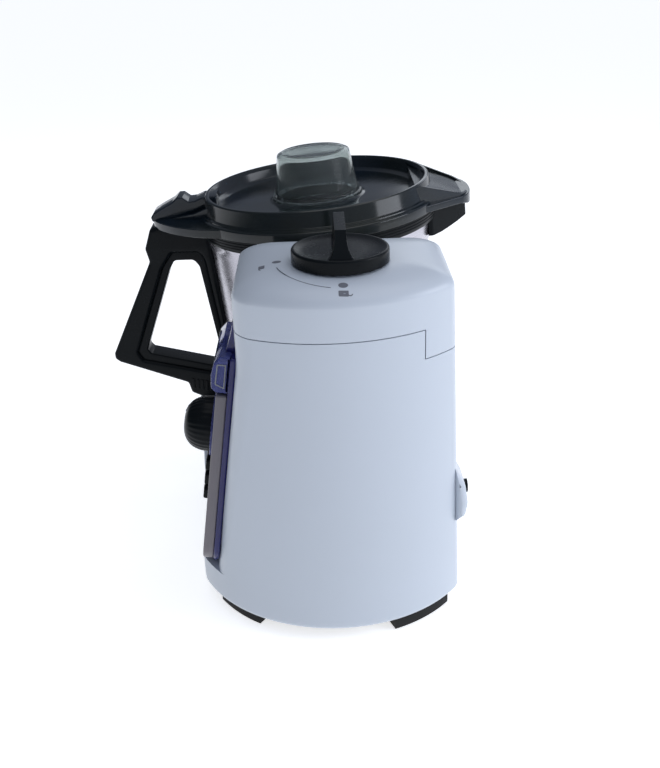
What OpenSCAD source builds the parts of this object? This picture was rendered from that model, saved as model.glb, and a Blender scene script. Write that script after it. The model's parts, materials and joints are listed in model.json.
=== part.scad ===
// Cooking food processor: a heated mixing jug standing in a bay beside a motor tower.
// +X runs from the jug to the tower, -Y is the front, +Z is up.
// The origin is on the jug's drive axis, at the surface that the feet stand on.

/* [Housing] */
// Height of the parting line under the top cover
cover_z = 252; // [240:1:262]
// Highest point of the top cover
top_z = 291.5; // [285:0.5:300]
// Lower edge of the white shells
shell_z = 12; // [10:0.5:15]
// Radius of the tower's round outer side
tower_r = 121; // [114:1:128]
// Jug axis to the centre of that round side
tower_x = 131; // [127:1:140]
// Front and rear offset of that centre
tower_y = 5; // [0:1:10]
// Tower face that looks at the jug
far_x = 117; // [115:1:122]
// Tower front face near the top
front_y = -63; // [-70:1:-58]
// Tower front face just above the ledge
front_low_y = -91.5; // [-97:0.5:-86]
// Foremost face of the tower, below the ledge
front_base_y = -106; // [-109:1:-100]
// Tower rear face at the top
rear_y = 93; // [88:1:98]
// Tower rear face at the bottom
rear_base_y = 103; // [99:1:107]
// Height of the ledge that carries the panel
ledge_z = 38; // [32:1:44]
// Height where the front face turns upright
brow_z = 225; // [210:1:232]
// Wall of the white shells
shell_wall = 3; // [2:0.25:4]
// Gap at the parting lines
seam = 0.5; // [0.3:0.1:0.8]

/* [Jug bay] */
// Height of the bay's rim
bay_z = 98; // [92:1:102]
// Outer radius of the bay at its rim
bay_r = 121; // [116:1:124]
// Outer radius of the bay at its foot
bay_foot_r = 110; // [104:1:114]
// Floor that the jug stands on
bay_floor_z = 70; // [66:1:74]
// Radial room round the jug's foot
bay_room = 3; // [2:0.5:5]

/* [Jug] */
// Outer radius of the steel wall under the collar
jug_r = 97; // [94:0.5:98]
// Outer radius of the steel wall above the foot
jug_foot_r = 80; // [74:1:84]
// Steel thickness
jug_wall = 1.5; // [1:0.1:2]
// Height of the jug's bottom plate
jug_z = 76; // [75:0.5:80]
// Outer radius of the black collar
collar_r = 104; // [102:0.5:105]
// Height of the black collar
collar_h = 14; // [12:1:18]
// Height of the collar's spout and of its block over the handle
spout_h = 29; // [24:1:34]
// Width of the handle
grip_w = 28; // [22:1:34]
// Lift that takes the jug out of the bay
jug_lift = 210; // [120:10:300]

/* [Lid] */
// Height of the lid's seat on the jug axis
lid_z = 281; // [278:0.5:284]
// Slope of the lid, rising to the spout
lid_tilt = 4; // [2:0.5:5]
// Radius of the lid's flange
lid_r = 106; // [105:0.5:108]
// Radius of the raised dish
dish_r = 98; // [90:0.5:100]
// Height of the dish rim above the seat
dish_h = 22; // [18:0.5:26]
// Thickness of the lid
lid_wall = 2.5; // [2:0.25:3.5]
// Radius of the feed opening
feed_r = 34.2; // [30:0.1:38]
// Running gap between loose pieces
loose = 0.4; // [0.3:0.05:0.6]

/* [Measuring cup] */
// Width of the cup's flange beyond the feed opening
cup_flange = 5.5; // [4:0.1:9]
// Height of the cup above the lid's seat
cup_h = 50; // [40:1:60]
// How much narrower the cup's closed top is than the feed opening
cup_taper = 4.2; // [2:0.1:8]
// Wall of the cup
cup_wall = 2; // [1.5:0.25:2.5]

/* [Lock] */
// Knob axis from the jug axis
knob_x = 194; // [190:1:198]
// Knob axis from the jug axis, to the rear
knob_y = 14; // [10:1:18]
// Radius of the knob's disc
knob_r = 35; // [30:0.5:38]
// Thickness of the knob's disc
knob_h = 11; // [9:0.5:13]
// Height of the fin above the disc
fin_h = 17; // [13:0.5:20]
// Radius of the lock shaft
shaft_r = 5; // [4:0.25:5]
// Radial running fit of the shafts
fit = 0.06; // [0.03:0.01:0.1]
// Pitch of the rack teeth
tooth_pitch = 4; // [4:0.1:4.2]
// Travel of the bolt over a quarter turn, in teeth
bolt_teeth = 2.5; // [2.5:0.5:2.5]

/* [Control panel] */
// Middle of the panel across the tower
panel_x = 167; // [165:1:170]
// Width of the panel
panel_w = 78; // [72:1:82]
// Thickness of the translucent frame
frame_t = 5; // [4:0.5:6]
// Thickness of the grey fascia
fascia_t = 8.5; // [7:0.5:10]
// Height of the dial's axis where it meets the fascia
dial_z = 150; // [146:1:156]
// Radius of the dial
dial_r = 22; // [19:0.5:24]
// Depth of the dial
dial_h = 24; // [20:0.5:28]
// Width of a key
key_w = 26; // [20:1:32]
// Height of a key
key_h = 10; // [8:0.5:11]
// Spacing of the keys
key_step = 13; // [12:0.5:14]
// Middle key, down the slope from the dial
key_drop = 44; // [42:1:50]
// How far a key stands out
key_out = 5; // [4:0.5:6]

/* [Drive] */
// Motor axis from the jug axis
motor_x = 188; // [182:1:192]
// Radius of the motor can
motor_r = 42; // [36:1:44]
// Pulley radius on the motor
small_pulley_r = 10; // [9:0.5:12]
// Pulley radius under the jug
big_pulley_r = 30; // [26:1:34]
// Middle height of the belt
belt_z = 28; // [26:1:30]
// Width of the belt
belt_w = 9; // [7:0.5:10]
// Radius of the drive shafts
spindle_r = 6; // [5:0.25:6.5]

/* [Hidden] */
$fn = 96;

// Rounding radii of the tower's plan
far_round = 14;
near_front_round = 26;
near_rear_round = 14;
bottom_round = 4;          // inset of the lower edge
tab_z = cover_z - 22;      // lower edge of the cover's rear tab
tab_y = 71;                // where the tab starts
rear_slope = (rear_base_y - rear_y) / (top_z - shell_z);
front_slope = (front_y - front_low_y) / (brow_z - ledge_z);
panel_tilt = atan(front_slope);
big = 600;

function rear_at(z) = rear_base_y - rear_slope * (z - shell_z);
function front_at(z) = z >= brow_z ? front_y : front_y - front_slope * (brow_z - z);
function arc(cx, cy, r, a0, a1, n) =
    [for (i = [0:n]) let (a = a0 + (a1 - a0) * i / n) [cx + r * cos(a), cy + r * sin(a)]];
function near_x(y, r, round) = tower_x + sqrt(pow(r - round, 2) - pow(y - tower_y, 2));
function near_angle(y, r, round) = asin((y - tower_y) / (r - round));

// Plan of the tower: flat towards the jug, round outside, with soft corners
function tower_plan(front, rear, inset) =
    let (r = tower_r - inset, rf = max(near_front_round - inset, 1),
         rr = max(near_rear_round - inset, 1), rc = max(far_round - inset, 1),
         yf = front + inset + rf, yr = rear - inset - rr, x = far_x + inset + rc,
         af = near_angle(yf, r, rf), ar = near_angle(yr, r, rr))
    concat(
        arc(x, front + inset + rc, rc, 180, 270, 5),
        arc(near_x(yf, r, rf), yf, rf, 270, 360 + af, 9),
        arc(tower_x, tower_y, r, af, ar, 22),
        arc(near_x(yr, r, rr), yr, rr, ar, 90, 6),
        arc(x, rear - inset - rc, rc, 90, 180, 5));

module tower_slice(z, front, rear, inset) {
    translate([0, 0, z]) linear_extrude(0.01) polygon(tower_plan(front, rear, inset));
}
module tower_layer(z, inset) { tower_slice(z, front_at(z), rear_at(z), inset); }

// The upper part of the tower between two heights, tapered like the faces
module tower_band(z0, z1, inset) {
    hull() {
        tower_layer(z0, inset);
        tower_slice(z1 - 0.01, front_at(z1), rear_at(z1), inset);
    }
}
module tower_foot(z0, inset) {
    hull() {
        tower_slice(z0, front_base_y, rear_at(z0), inset + bottom_round);
        tower_slice(z0 + 5, front_base_y, rear_at(z0 + 5), inset);
        tower_slice(ledge_z - 0.01, front_base_y, rear_at(ledge_z), inset);
    }
}

// ---- mounting points ----
screw_r = 1.9;
boss_r = 5.5;
// x, y, then direction and length of the rib that joins the boss to its wall
base_points = [[tower_x + tower_r - 18, 30, 14, 12.5], [150, -94, 270, 11], [150, 90, 90, 11.5],
    [-95, 0, 180, 15.5], [30, -93, 270, 15], [30, 90, 90, 15.5]];
guide_points = [[130, -22], [130, 36], [206, -26], [206, 44]];
plate_t = 3;

module at_points(points) { for (p = points) translate([p[0], p[1], 0]) children(); }
module bosses(first) {
    for (i = [first:first + 2]) translate([base_points[i][0], base_points[i][1], shell_z + plate_t])
        rotate(base_points[i][2]) {
            cylinder(r = boss_r, h = 20);
            translate([0, -1.5, 2.5]) cube([base_points[i][3], 3, 16]);
        }
}

// ---- white housing ----
module tower_shell() color("white") {
    difference() {
        union() {
            difference() {
                union() {
                    tower_foot(shell_z, 0);
                    tower_band(ledge_z, brow_z, 0);
                    tower_band(brow_z, cover_z - seam, 0);
                }
                tower_band(ledge_z - shell_wall, brow_z, shell_wall);
                tower_band(brow_z, cover_z + 1, shell_wall);
                hull() {
                    tower_slice(shell_z - 1, front_base_y, rear_base_y, shell_wall + bottom_round);
                    tower_slice(shell_z + 5, front_base_y, rear_base_y - 0.5, shell_wall);
                    tower_slice(ledge_z - shell_wall - 0.01, front_base_y,
                        rear_at(ledge_z - shell_wall), shell_wall);
                }
            }
            bosses(0);
        }
        // rear edge steps down under the cover's tab
        translate([0, tab_y - seam, tab_z - seam]) cube([big, big, 60]);
        // doorway for the belt, low in the face towards the jug
        translate([far_x - 5, -80, shell_z - 1]) cube([20, 155, 84]);
        // room for the base plate's neck
        translate([far_x - 5, -94, shell_z - 1]) cube([20, 187, plate_t + 1.5]);
        at_points(base_points) translate([0, 0, shell_z]) cylinder(r = screw_r - 0.3, h = 20);
        // cable hole in the rear face
        translate([hood_x, rear_at(hood_z) - 12, hood_z]) rotate([-90, 0, 0])
            cylinder(r = gland_r + fit, h = 24);
        // openings behind the dial and the keys
        panel_place(dial_z) translate([0, 0, -20]) cylinder(r = 12, h = 30);
        panel_place(dial_z) translate([-key_w / 2, -key_drop - 22, -20]) cube([key_w, 44, 30]);
        // opening behind the display
        translate([panel_x - 22, front_y - 12, panel_top_z + 2.5]) cube([44, 30, 22.5]);
    }
}

cover_steps = [[276, 0], [280, 1.5], [284, 5], [288, 13], [290.4, 26], [291.49, 40]];
module cover_solid(inset, drop) {
    hull() {
        tower_slice(cover_z, front_y, rear_at(cover_z), inset);
        for (s = cover_steps)
            tower_slice(top_z - 291.5 + s[0] - drop, front_y, rear_at(s[0]), inset + s[1] * 0.97);
    }
}
module top_cover() color("white") {
    difference() {
        union() {
            difference() {
                union() {
                    cover_solid(0, 0);
                    intersection() {
                        tower_band(tab_z, cover_z, 0);
                        translate([0, tab_y, 0]) cube([big, big, cover_z]);
                    }
                }
                cover_solid(shell_wall, shell_wall);
                tower_band(tab_z - 1, cover_z, shell_wall);
            }
            // boss round the lock shaft
            translate([knob_x, knob_y, top_z - 16]) cylinder(r = 11, h = 15);
            // bosses that hold the bolt's guide
            for (p = guide_points) translate([p[0], p[1], plate_top_z + 8.3])
                cylinder(r = 4.5, h = top_z - plate_top_z - (p[0] < motor_x ? 15 : 10.5));
        }
        at_points(guide_points) translate([0, 0, plate_top_z]) cylinder(r = screw_r, h = 20);
        translate([knob_x, knob_y, 200]) cylinder(r = shaft_r + fit, h = top_z - 170);
        translate([far_x - 4, bolt_y0 - loose, bolt_z0 - loose])
            cube([20, bolt_w + 2 * loose, bolt_t + 2 * loose]);
    }
}

module bay_layer(z, r, inset) {
    translate([0, 0, z]) linear_extrude(0.01) union() {
        circle(r - inset);
        polygon([[0, -r + inset], [far_x + 9, front_base_y + (bay_r - r) * 0.5 + inset],
            [far_x + 9, rear_base_y - (bay_r - r) * 0.5 - inset], [0, r - inset]]);
    }
}
module bay_solid(inset, z0, z1) {
    hull() {
        bay_layer(z0, bay_foot_r - bottom_round, inset);
        bay_layer(z0 + 5, bay_foot_r + 1, inset);
        bay_layer(z1 - 3, bay_r, inset);
        bay_layer(z1 - 0.01, bay_r - 3, inset);
    }
}
foot_top_r = jug_foot_r + 4;
module jug_bay() color("white") {
    difference() {
        union() {
            difference() {
                bay_solid(0, shell_z, bay_z);
                bay_solid(shell_wall, shell_z - 1, bay_z - shell_wall);
            }
            translate([0, 0, bay_floor_z - 3]) cylinder(r1 = foot_top_r, r2 = foot_top_r + 7, h = 28);
            bosses(3);
        }
        translate([0, 0, bay_floor_z])
            cylinder(r1 = foot_top_r - 3 + bay_room, r2 = foot_top_r + 3 + bay_room, h = 40);
        // hole for the drive socket
        translate([0, 0, bay_floor_z - 10]) cylinder(r = 26, h = 20);
        // holes for the temperature sensor
        translate([sensor_x, 0, bay_floor_z - 10]) cylinder(r = sensor_r + fit, h = 20);
        // open side towards the tower, whose corners it reaches round
        translate([far_x - 8, -92, shell_z - 1]) cube([20, 184, bay_z - shell_z - 8]);
        tower_foot(shell_z - 1, -seam);
        tower_band(ledge_z, brow_z, -seam);
        // notch for the handle's lower end
        translate([-grip_w / 2 - 2.5, -bay_r - 5, bay_z - 9]) cube([grip_w + 5, 45, 20]);
        at_points(base_points) translate([0, 0, shell_z]) cylinder(r = screw_r - 0.3, h = 20);
    }
}

module base_plate() color("dimgray") {
    difference() {
        translate([0, 0, shell_z]) union() {
            cylinder(r = bay_foot_r - bottom_round - shell_wall - seam, h = plate_t);
            linear_extrude(plate_t)
                polygon(tower_plan(front_base_y, rear_base_y, shell_wall + bottom_round + seam));
            translate([0, -92, 0]) cube([far_x + 20, 184, plate_t]);
        }
        at_points(base_points) translate([0, 0, shell_z - 1]) cylinder(r = screw_r + 0.1, h = 10);
        // air slots under the motor
        for (i = [-4:4]) translate([motor_x + 18, i * 9 - 2, shell_z - 1]) cube([26, 4, 10]);
    }
}
foot_h = shell_z;
module foot_pad(cx, cy, r0, r1, a0, a1) {
    translate([cx, cy, 0]) linear_extrude(foot_h) intersection() {
        difference() { circle(r1); circle(r0); }
        polygon([[0, 0], [2 * r1 * cos(a0), 2 * r1 * sin(a0)],
            [2 * r1 * cos((a0 + a1) / 2), 2 * r1 * sin((a0 + a1) / 2)],
            [2 * r1 * cos(a1), 2 * r1 * sin(a1)]]);
    }
}
module feet() color("black") {
    foot_pad(tower_x, tower_y, 90, tower_r - 7, -58, -34);
    foot_pad(tower_x, tower_y, 92, tower_r - 5, 22, 50);
    foot_pad(0, 0, 80, bay_foot_r - 8, 212, 236);
    foot_pad(0, 0, 80, bay_foot_r - 8, 124, 148);
    // round foot under the drive
    cylinder(r = 16, h = foot_h);
}
module base_screws() color("silver") {
    at_points(base_points) {
        translate([0, 0, shell_z - 2]) cylinder(r = 3.6, h = 2);
        translate([0, 0, shell_z - 0.5]) cylinder(r = screw_r - 0.3, h = 14);
    }
}

// ---- cable exit at the rear ----
hood_x = 195;
hood_z = 104;
hood_h = 50;
hood_w = 34;
gland_r = 5.5;
cable_r = 3.6;
module rear_hood() color("white") {
    difference() {
        translate([hood_x - hood_w / 2, 0, hood_z - hood_h / 2]) rotate([90, 0, 90])
            linear_extrude(hood_w) polygon([[rear_at(80) - 0.1, 0], [rear_at(80) + 6, 6],
                [rear_at(95) + 8, 17], [rear_at(115) + 7, 33], [rear_at(129) - 0.3, hood_h]]);
        tower_band(60, 150, 0);
        translate([hood_x, 60, hood_z]) rotate([-90, 0, 0]) cylinder(r = gland_r + fit, h = 80);
    }
}
module cable_gland() color("black") {
    translate([hood_x, rear_at(hood_z) - 8, hood_z]) rotate([-90, 0, 0]) difference() {
        union() {
            cylinder(r = gland_r, h = 17);
            cylinder(r = gland_r + 2, h = 3);
        }
        translate([0, 0, -1]) cylinder(r = cable_r, h = 30);
    }
}

// ---- control panel, built in its own sloping plane ----
// local +X across, +Y up the slope, +Z out of the face
module panel_place(z) {
    translate([panel_x, front_at(z), z]) rotate([90 - panel_tilt, 0, 0]) children();
}
panel_top_z = 192;           // upper end of the grey fascia
panel_len_up = (panel_top_z - dial_z) / cos(panel_tilt);
panel_len_down = (dial_z - ledge_z) / cos(panel_tilt) - 1.5;
window_len = (brow_z - panel_top_z) / cos(panel_tilt);
corner_r = 22;
module panel_outline(w, up, down, r) {
    translate([-w / 2, -down + r]) square([w, up + down - r]);
    translate([-w / 2 + r, -down]) square([w - 2 * r, 2 * r]);
    for (s = [-1, 1]) translate([s * (w / 2 - r), -down + r]) circle(r);
}
module panel_holes() {
    circle(shaft_hole_r);
    for (k = [-1:1]) translate([-key_w / 2 + 2, -key_drop + k * key_step - key_h / 2 + 1.5])
        square([key_w - 4, key_h - 3]);
}
shaft_hole_r = 8;
module panel_frame() color([0.2, 0.2, 0.45, 0.9]) {
    panel_place(dial_z) linear_extrude(frame_t) difference() {
        panel_outline(panel_w, panel_len_up + window_len - 1, panel_len_down, corner_r);
        panel_outline(panel_w - 24, panel_len_up - 8, panel_len_down - 12, corner_r - 12);
        translate([-20, panel_len_up + 2]) square([40, window_len - 10]);
    }
    // narrow neck above the display
    translate([panel_x - 26, 0, brow_z]) rotate([90, 0, 90]) linear_extrude(52)
        polygon([[front_at(brow_z - 3) - 0.1, -3], [front_y, 0], [front_y, 40], [front_y - 3, 38],
            [front_y - frame_t - 4, -0.3], [front_y - frame_t, -0.6],
            [front_at(brow_z - 3) - frame_t, -3]]);
}
module panel_fascia() color("dimgray") {
    panel_place(dial_z) translate([0, 0, frame_t]) difference() {
        linear_extrude(fascia_t) panel_outline(panel_w - 3, panel_len_up, panel_len_down - 1.5,
            corner_r - 1.5);
        translate([0, 0, -1]) linear_extrude(fascia_t - 2)
            panel_outline(panel_w - 10, panel_len_up - 3.5, panel_len_down - 5, corner_r - 5);
        translate([0, 0, -1]) linear_extrude(fascia_t + 5) {
            circle(dial_shaft_r + fit);
            for (k = [-1:1]) translate([-key_w / 2 - loose, -key_drop + k * key_step
                - key_h / 2 - loose]) square([key_w + 2 * loose, key_h + 2 * loose]);
        }
    }
}
window_w = panel_w - 6;
module display_window() color([0.3, 0.35, 0.7, 0.8]) {
    difference() {
        panel_place(panel_top_z) translate([-window_w / 2, 1, frame_t]) rotate([90, 0, 90])
            linear_extrude(window_w) polygon([[0, 0], [0, 9], [4, 12.5], [14, 13.5], [24, 12],
                [window_len - 3, 7.4], [window_len - 3, 0]]);
        panel_place(panel_top_z) translate([-window_w / 2 + 2.5, 1, frame_t]) rotate([90, 0, 90])
            linear_extrude(window_w - 5) polygon([[2.5, -1], [2.5, 8], [5, 10.2], [14, 11], [23, 9.6],
                [window_len - 5.5, 5.4], [window_len - 5.5, -1]]);
    }
}
module display_module() color("darkslategray") {
    panel_place(panel_top_z) translate([-19, 5, -6]) cube([38, 18, 12]);
}
module control_board() color("green") {
    panel_place(dial_z) translate([-30, -62, -26]) difference() {
        cube([60, 116, 1.6]);
        translate([30, 62, -1]) cylinder(r = dial_shaft_r + 1.5, h = 5);
    }
}
dial_shaft_r = 3;
module speed_switch() color("slategray") {
    panel_place(dial_z) translate([0, 0, -24.2]) difference() {
        union() {
            translate([-10, -10, 0]) cube([20, 20, 12]);
            cylinder(r = 5, h = 20);
        }
        translate([0, 0, 2]) cylinder(r = dial_shaft_r + fit, h = 30);
    }
}
module key_mat() color("gray") {
    panel_place(dial_z) translate([0, 0, -24.2]) for (k = [-1:1])
        translate([-5, -key_drop + k * key_step - 4, 0]) cube([10, 8, 16]);
}
module speed_dial() color("black") {
    panel_place(dial_z) translate([0, 0, frame_t + fascia_t + 0.6]) difference() {
        rotate_extrude() polygon([[0, 0], [dial_r - 1, 0], [dial_r, 1.5], [dial_r, 9],
            [dial_r - 1.5, 15], [dial_r - 4.5, 20], [dial_r - 8, dial_h - 1],
            [dial_r - 11, dial_h], [0, dial_h]]);
        translate([0, 0, -1]) cylinder(r = dial_shaft_r, h = 15);
        for (a = [0:30:330]) rotate(a) translate([dial_r + 1.2, 0, 3]) cylinder(r = 2, h = 30);
    }
}
module dial_shaft() color("silver") {
    panel_place(dial_z) translate([0, 0, -21]) cylinder(r = dial_shaft_r, h = 21 + frame_t + fascia_t + 14);
}
module key(k) {
    panel_place(dial_z) translate([-key_w / 2, -key_drop + k * key_step - key_h / 2, frame_t])
        linear_extrude(fascia_t + key_out) {
            translate([2, 0]) square([key_w - 4, key_h]);
            translate([0, 2]) square([key_w, key_h - 4]);
            for (x = [2, key_w - 2], y = [2, key_h - 2]) translate([x, y]) circle(2);
        }
    // stem that reaches its switch
    panel_place(dial_z) translate([-2.5, -key_drop + k * key_step - 2.5, -6.5]) cube([5, 5, 14]);
}
module time_key() color("black") key(1);
module heat_key() color("black") key(0);
module boost_key() color("black") key(-1);

// ---- lid lock ----
rack_teeth = 10;
pitch_r = rack_teeth * tooth_pitch / (2 * PI);
bolt_travel = bolt_teeth * tooth_pitch;
bolt_t = 6;
bolt_w = 9;
bolt_z0 = 264;
bolt_y0 = knob_y - pitch_r - 1.1 - bolt_w;
bolt_tip_x = far_x - 1;
bolt_end_x = knob_x + 22;
tooth_up = 1.0;
tooth_down = 1.3;
lock_pin_r = 3.5;
plate_top_z = 260;         // upper face of the bolt's guide plate
module lock_knob() color("black") {
    translate([knob_x, knob_y, top_z + 0.5]) {
        rotate_extrude() polygon([[shaft_r, 0], [knob_r, 0], [knob_r, 5.5],
            [knob_r - 1, 8.5], [knob_r - 3.5, knob_h - 0.5], [knob_r - 6, knob_h],
            [shaft_r, knob_h]]);
        translate([0, 0, 8]) cylinder(r = shaft_r + 3, h = knob_h - 8 + 6);
        // fin along X with a flared root
        hull() {
            translate([-26, -4.3, knob_h + fin_h - 3]) cube([50, 8.6, 3]);
            translate([-30, -6.5, knob_h - 0.5]) cube([60, 13, 0.5]);
        }
        hull() {
            translate([10, -4.3, knob_h + 8]) cube([16, 8.6, 0.5]);
            translate([6, -12, knob_h - 0.5]) cube([25, 24, 0.5]);
        }
    }
}
module lock_shaft() color("silver") {
    translate([knob_x, knob_y, 0]) {
        translate([0, 0, plate_top_z + 0.3]) cylinder(r = shaft_r, h = top_z + 8.2 - plate_top_z);
        translate([0, 0, 255]) cylinder(r = lock_pin_r, h = 8);
        translate([0, 0, bolt_z0]) linear_extrude(bolt_t) {
            circle(pitch_r - tooth_down);
            for (i = [0:rack_teeth - 1]) rotate(-90 + i * 360 / rack_teeth)
                polygon([[pitch_r - tooth_down - 0.6, -1.35], [pitch_r, -0.75],
                    [pitch_r + tooth_up, -0.35], [pitch_r + tooth_up, 0.35],
                    [pitch_r, 0.75], [pitch_r - tooth_down - 0.6, 1.35]]);
        }
    }
}
// bar with rack teeth on its rear side; a gap lies opposite the pinion's tooth
module lock_bolt() color("gainsboro") {
    rack_y = knob_y - pitch_r;
    root = bolt_y0 + bolt_w;
    translate([0, 0, bolt_z0]) linear_extrude(bolt_t) polygon(concat(
        [[bolt_end_x, root], [bolt_end_x, bolt_y0], [bolt_tip_x, bolt_y0], [bolt_tip_x, root]],
        [for (i = [-2:5], p = [[-1.25, root], [-0.75, rack_y], [-0.45, rack_y + tooth_up - 0.1],
            [0.45, rack_y + tooth_up - 0.1], [0.75, rack_y], [1.25, root]])
            [knob_x + (i + 0.5) * tooth_pitch + p[0], p[1]]]));
}
module lock_guide() color("gainsboro") {
    difference() {
        union() {
            translate([124, -30, plate_top_z - 3]) cube([92, 80, 3]);
            // walls beside the bolt
            translate([124, bolt_y0 - loose - 4, plate_top_z - 1]) cube([72, 4, 13]);
            translate([124, bolt_y0 + bolt_w + loose, plate_top_z - 1]) cube([50, 4, 13]);
            at_points(guide_points) translate([0, 0, plate_top_z - 1]) cylinder(r = 4.5, h = 9);
        }
        translate([knob_x, knob_y, 250]) cylinder(r = lock_pin_r + fit, h = 20);
        at_points(guide_points) translate([0, 0, 250]) cylinder(r = screw_r, h = 40);
    }
}
module guide_screws() color("silver") {
    at_points(guide_points) {
        translate([0, 0, plate_top_z - 5.2]) cylinder(r = 3.6, h = 2.2);
        translate([0, 0, plate_top_z - 4]) cylinder(r = screw_r, h = 22);
    }
}
module lock_switch() color("black") {
    translate([knob_x + 4, bolt_y0 - loose - 10.5, plate_top_z]) cube([18, 10.5, 12]);
}

// ---- motor and belt ----
motor_z0 = 62;
motor_z1 = 168;
rotor_r = motor_r - 15;
module motor_can() color("silver") {
    translate([motor_x, 0, motor_z0]) difference() {
        cylinder(r = motor_r, h = motor_z1 - motor_z0);
        translate([0, 0, -1]) cylinder(r = rotor_r + 1, h = 200);
    }
}
module motor_caps() color("gray") {
    for (z = [motor_z0 - 6, motor_z1]) translate([motor_x, 0, z]) difference() {
        cylinder(r = motor_r + 1, h = 6);
        translate([0, 0, -1]) cylinder(r = 12, h = 10);
        for (a = [0:45:315]) rotate(a) translate([26, 0, -1]) cylinder(r = 6, h = 10);
    }
}
module motor_bearings() color("silver") {
    for (z = [motor_z0 - 6, motor_z1]) translate([motor_x, 0, z]) difference() {
        cylinder(r = 12, h = 6);
        translate([0, 0, -1]) cylinder(r = spindle_r + fit, h = 10);
    }
}
module motor_bracket() color("slategray") {
    translate([motor_x, 0, 0]) difference() {
        union() {
            translate([-46, -46, motor_z0 - 10]) cube([92, 92, 4]);
            for (x = [-40, 40], y = [-40, 40]) translate([x, y, shell_z + plate_t])
                cylinder(r = 5, h = motor_z0 - 10 - shell_z - plate_t);
        }
        cylinder(r = 20, h = 100);
    }
}
module motor_rotor() color("orange") {
    translate([motor_x, 0, motor_z0 + 4]) cylinder(r = rotor_r, h = motor_z1 - motor_z0 - 8);
    translate([motor_x, 0, shell_z + 6]) cylinder(r = spindle_r, h = motor_z1 + 26 - shell_z - 6);
}
module pulley(r, bore) {
    difference() {
        union() {
            translate([0, 0, -belt_w / 2 - 0.5]) cylinder(r = r, h = belt_w + 1);
            for (z = [-belt_w / 2 - 2, belt_w / 2 + 0.5]) translate([0, 0, z]) cylinder(r = r + 3, h = 1.5);
        }
        translate([0, 0, -20]) cylinder(r = bore, h = 40);
    }
}
module motor_pulley() color("dimgray") { translate([motor_x, 0, belt_z]) pulley(small_pulley_r, spindle_r); }
module driven_pulley() color("dimgray") { translate([0, 0, belt_z]) pulley(big_pulley_r, spindle_r); }
module belt_path(extra) {
    hull() {
        circle(big_pulley_r + extra);
        translate([motor_x, 0]) circle(small_pulley_r + extra);
    }
}
belt_gap = 0.3;
belt_t = 2;
module drive_belt() color("black") {
    translate([0, 0, belt_z - belt_w / 2]) linear_extrude(belt_w) difference() {
        belt_path(belt_gap + belt_t);
        belt_path(belt_gap);
    }
}
fan_blades = 9;
module cooling_fan() color("black") {
    translate([motor_x, 0, motor_z1 + 9]) difference() {
        union() {
            cylinder(r = 12, h = 14);
            cylinder(r = motor_r - 4, h = 1.8);
            for (i = [0:fan_blades - 1]) rotate(i * 360 / fan_blades)
                translate([10, -1, 0]) cube([motor_r - 15, 2, 14]);
        }
        translate([0, 0, -1]) cylinder(r = spindle_r, h = 30);
    }
}

// ---- drive under the jug ----
module drive_spindle() color("silver") { translate([0, 0, shell_z + 6]) cylinder(r = spindle_r, h = 44); }
module spindle_housing() color("slategray") {
    difference() {
        union() {
            translate([0, 0, 36]) cylinder(r = 17, h = 18);
            translate([-44, -8, 36]) cube([88, 16, 4]);
            for (s = [-1, 1]) translate([s * 40, 0, shell_z + plate_t])
                cylinder(r = 5, h = 36 - shell_z - plate_t + 1);
        }
        translate([0, 0, 30]) cylinder(r = 12, h = 40);
    }
}
module spindle_bearings() color("silver") {
    for (z = [37, 47]) translate([0, 0, z]) difference() {
        cylinder(r = 12, h = 6);
        translate([0, 0, -1]) cylinder(r = spindle_r + fit, h = 10);
    }
}
socket_r = 18;
dog_r = 11;
dog_lobes = 4;
module drive_socket() color("black") {
    translate([0, 0, 55]) difference() {
        cylinder(r = socket_r, h = 13);
        translate([0, 0, -1]) cylinder(r = spindle_r, h = 8);
        translate([0, 0, 6]) {
            cylinder(r = dog_r + 0.6, h = 20);
            for (i = [0:dog_lobes - 1]) rotate(i * 90) translate([8, -3.2, 0]) cube([7.2, 6.4, 20]);
        }
    }
}
coil_turns = 7;
turn_step = 5.5;
module heating_coil() color("orange") {
    translate([0, 0, 61]) difference() {
        cylinder(r = 36 + coil_turns * turn_step - 1, h = 4);
        translate([0, 0, -1]) cylinder(r = 36, h = 10);
        // grooves between the turns
        for (i = [1:coil_turns - 1]) translate([0, 0, 2.5]) difference() {
            cylinder(r = 36 + i * turn_step, h = 5);
            translate([0, 0, -1]) cylinder(r = 35 + i * turn_step, h = 10);
        }
    }
}
module coil_tray() color("dimgray") {
    difference() {
        translate([0, 0, 57]) cylinder(r = 77, h = 4);
        translate([0, 0, 50]) cylinder(r = 32, h = 20);
        translate([sensor_x, 0, 50]) cylinder(r = sensor_r + 1, h = 20);
    }
}
sensor_x = -30;
sensor_r = 3;
module temperature_sensor() color("gold") {
    translate([sensor_x, 0, 52]) cylinder(r = sensor_r, h = jug_z - 1.2 - 52);
}
module seat_ring() color("dimgray") {
    translate([0, 0, bay_floor_z]) difference() {
        cylinder(r = jug_foot_r, h = 2);
        translate([0, 0, -1]) cylinder(r = jug_foot_r - 8, h = 6);
    }
}
module power_board() color("green") {
    translate([140, 74, 120]) cube([80, 1.6, 110]);
    for (i = [0:2]) translate([152 + i * 22, 66, 150]) rotate([90, 0, 0]) translate([0, 0, -8])
        cylinder(r = 8, h = 14);
}
module heat_sink() color("silver") {
    translate([150, 52, 190]) {
        translate([0, 18, 0]) cube([60, 4, 34]);
        for (i = [0:7]) translate([i * 8, 2, 0]) cube([2, 17, 34]);
    }
}

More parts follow.
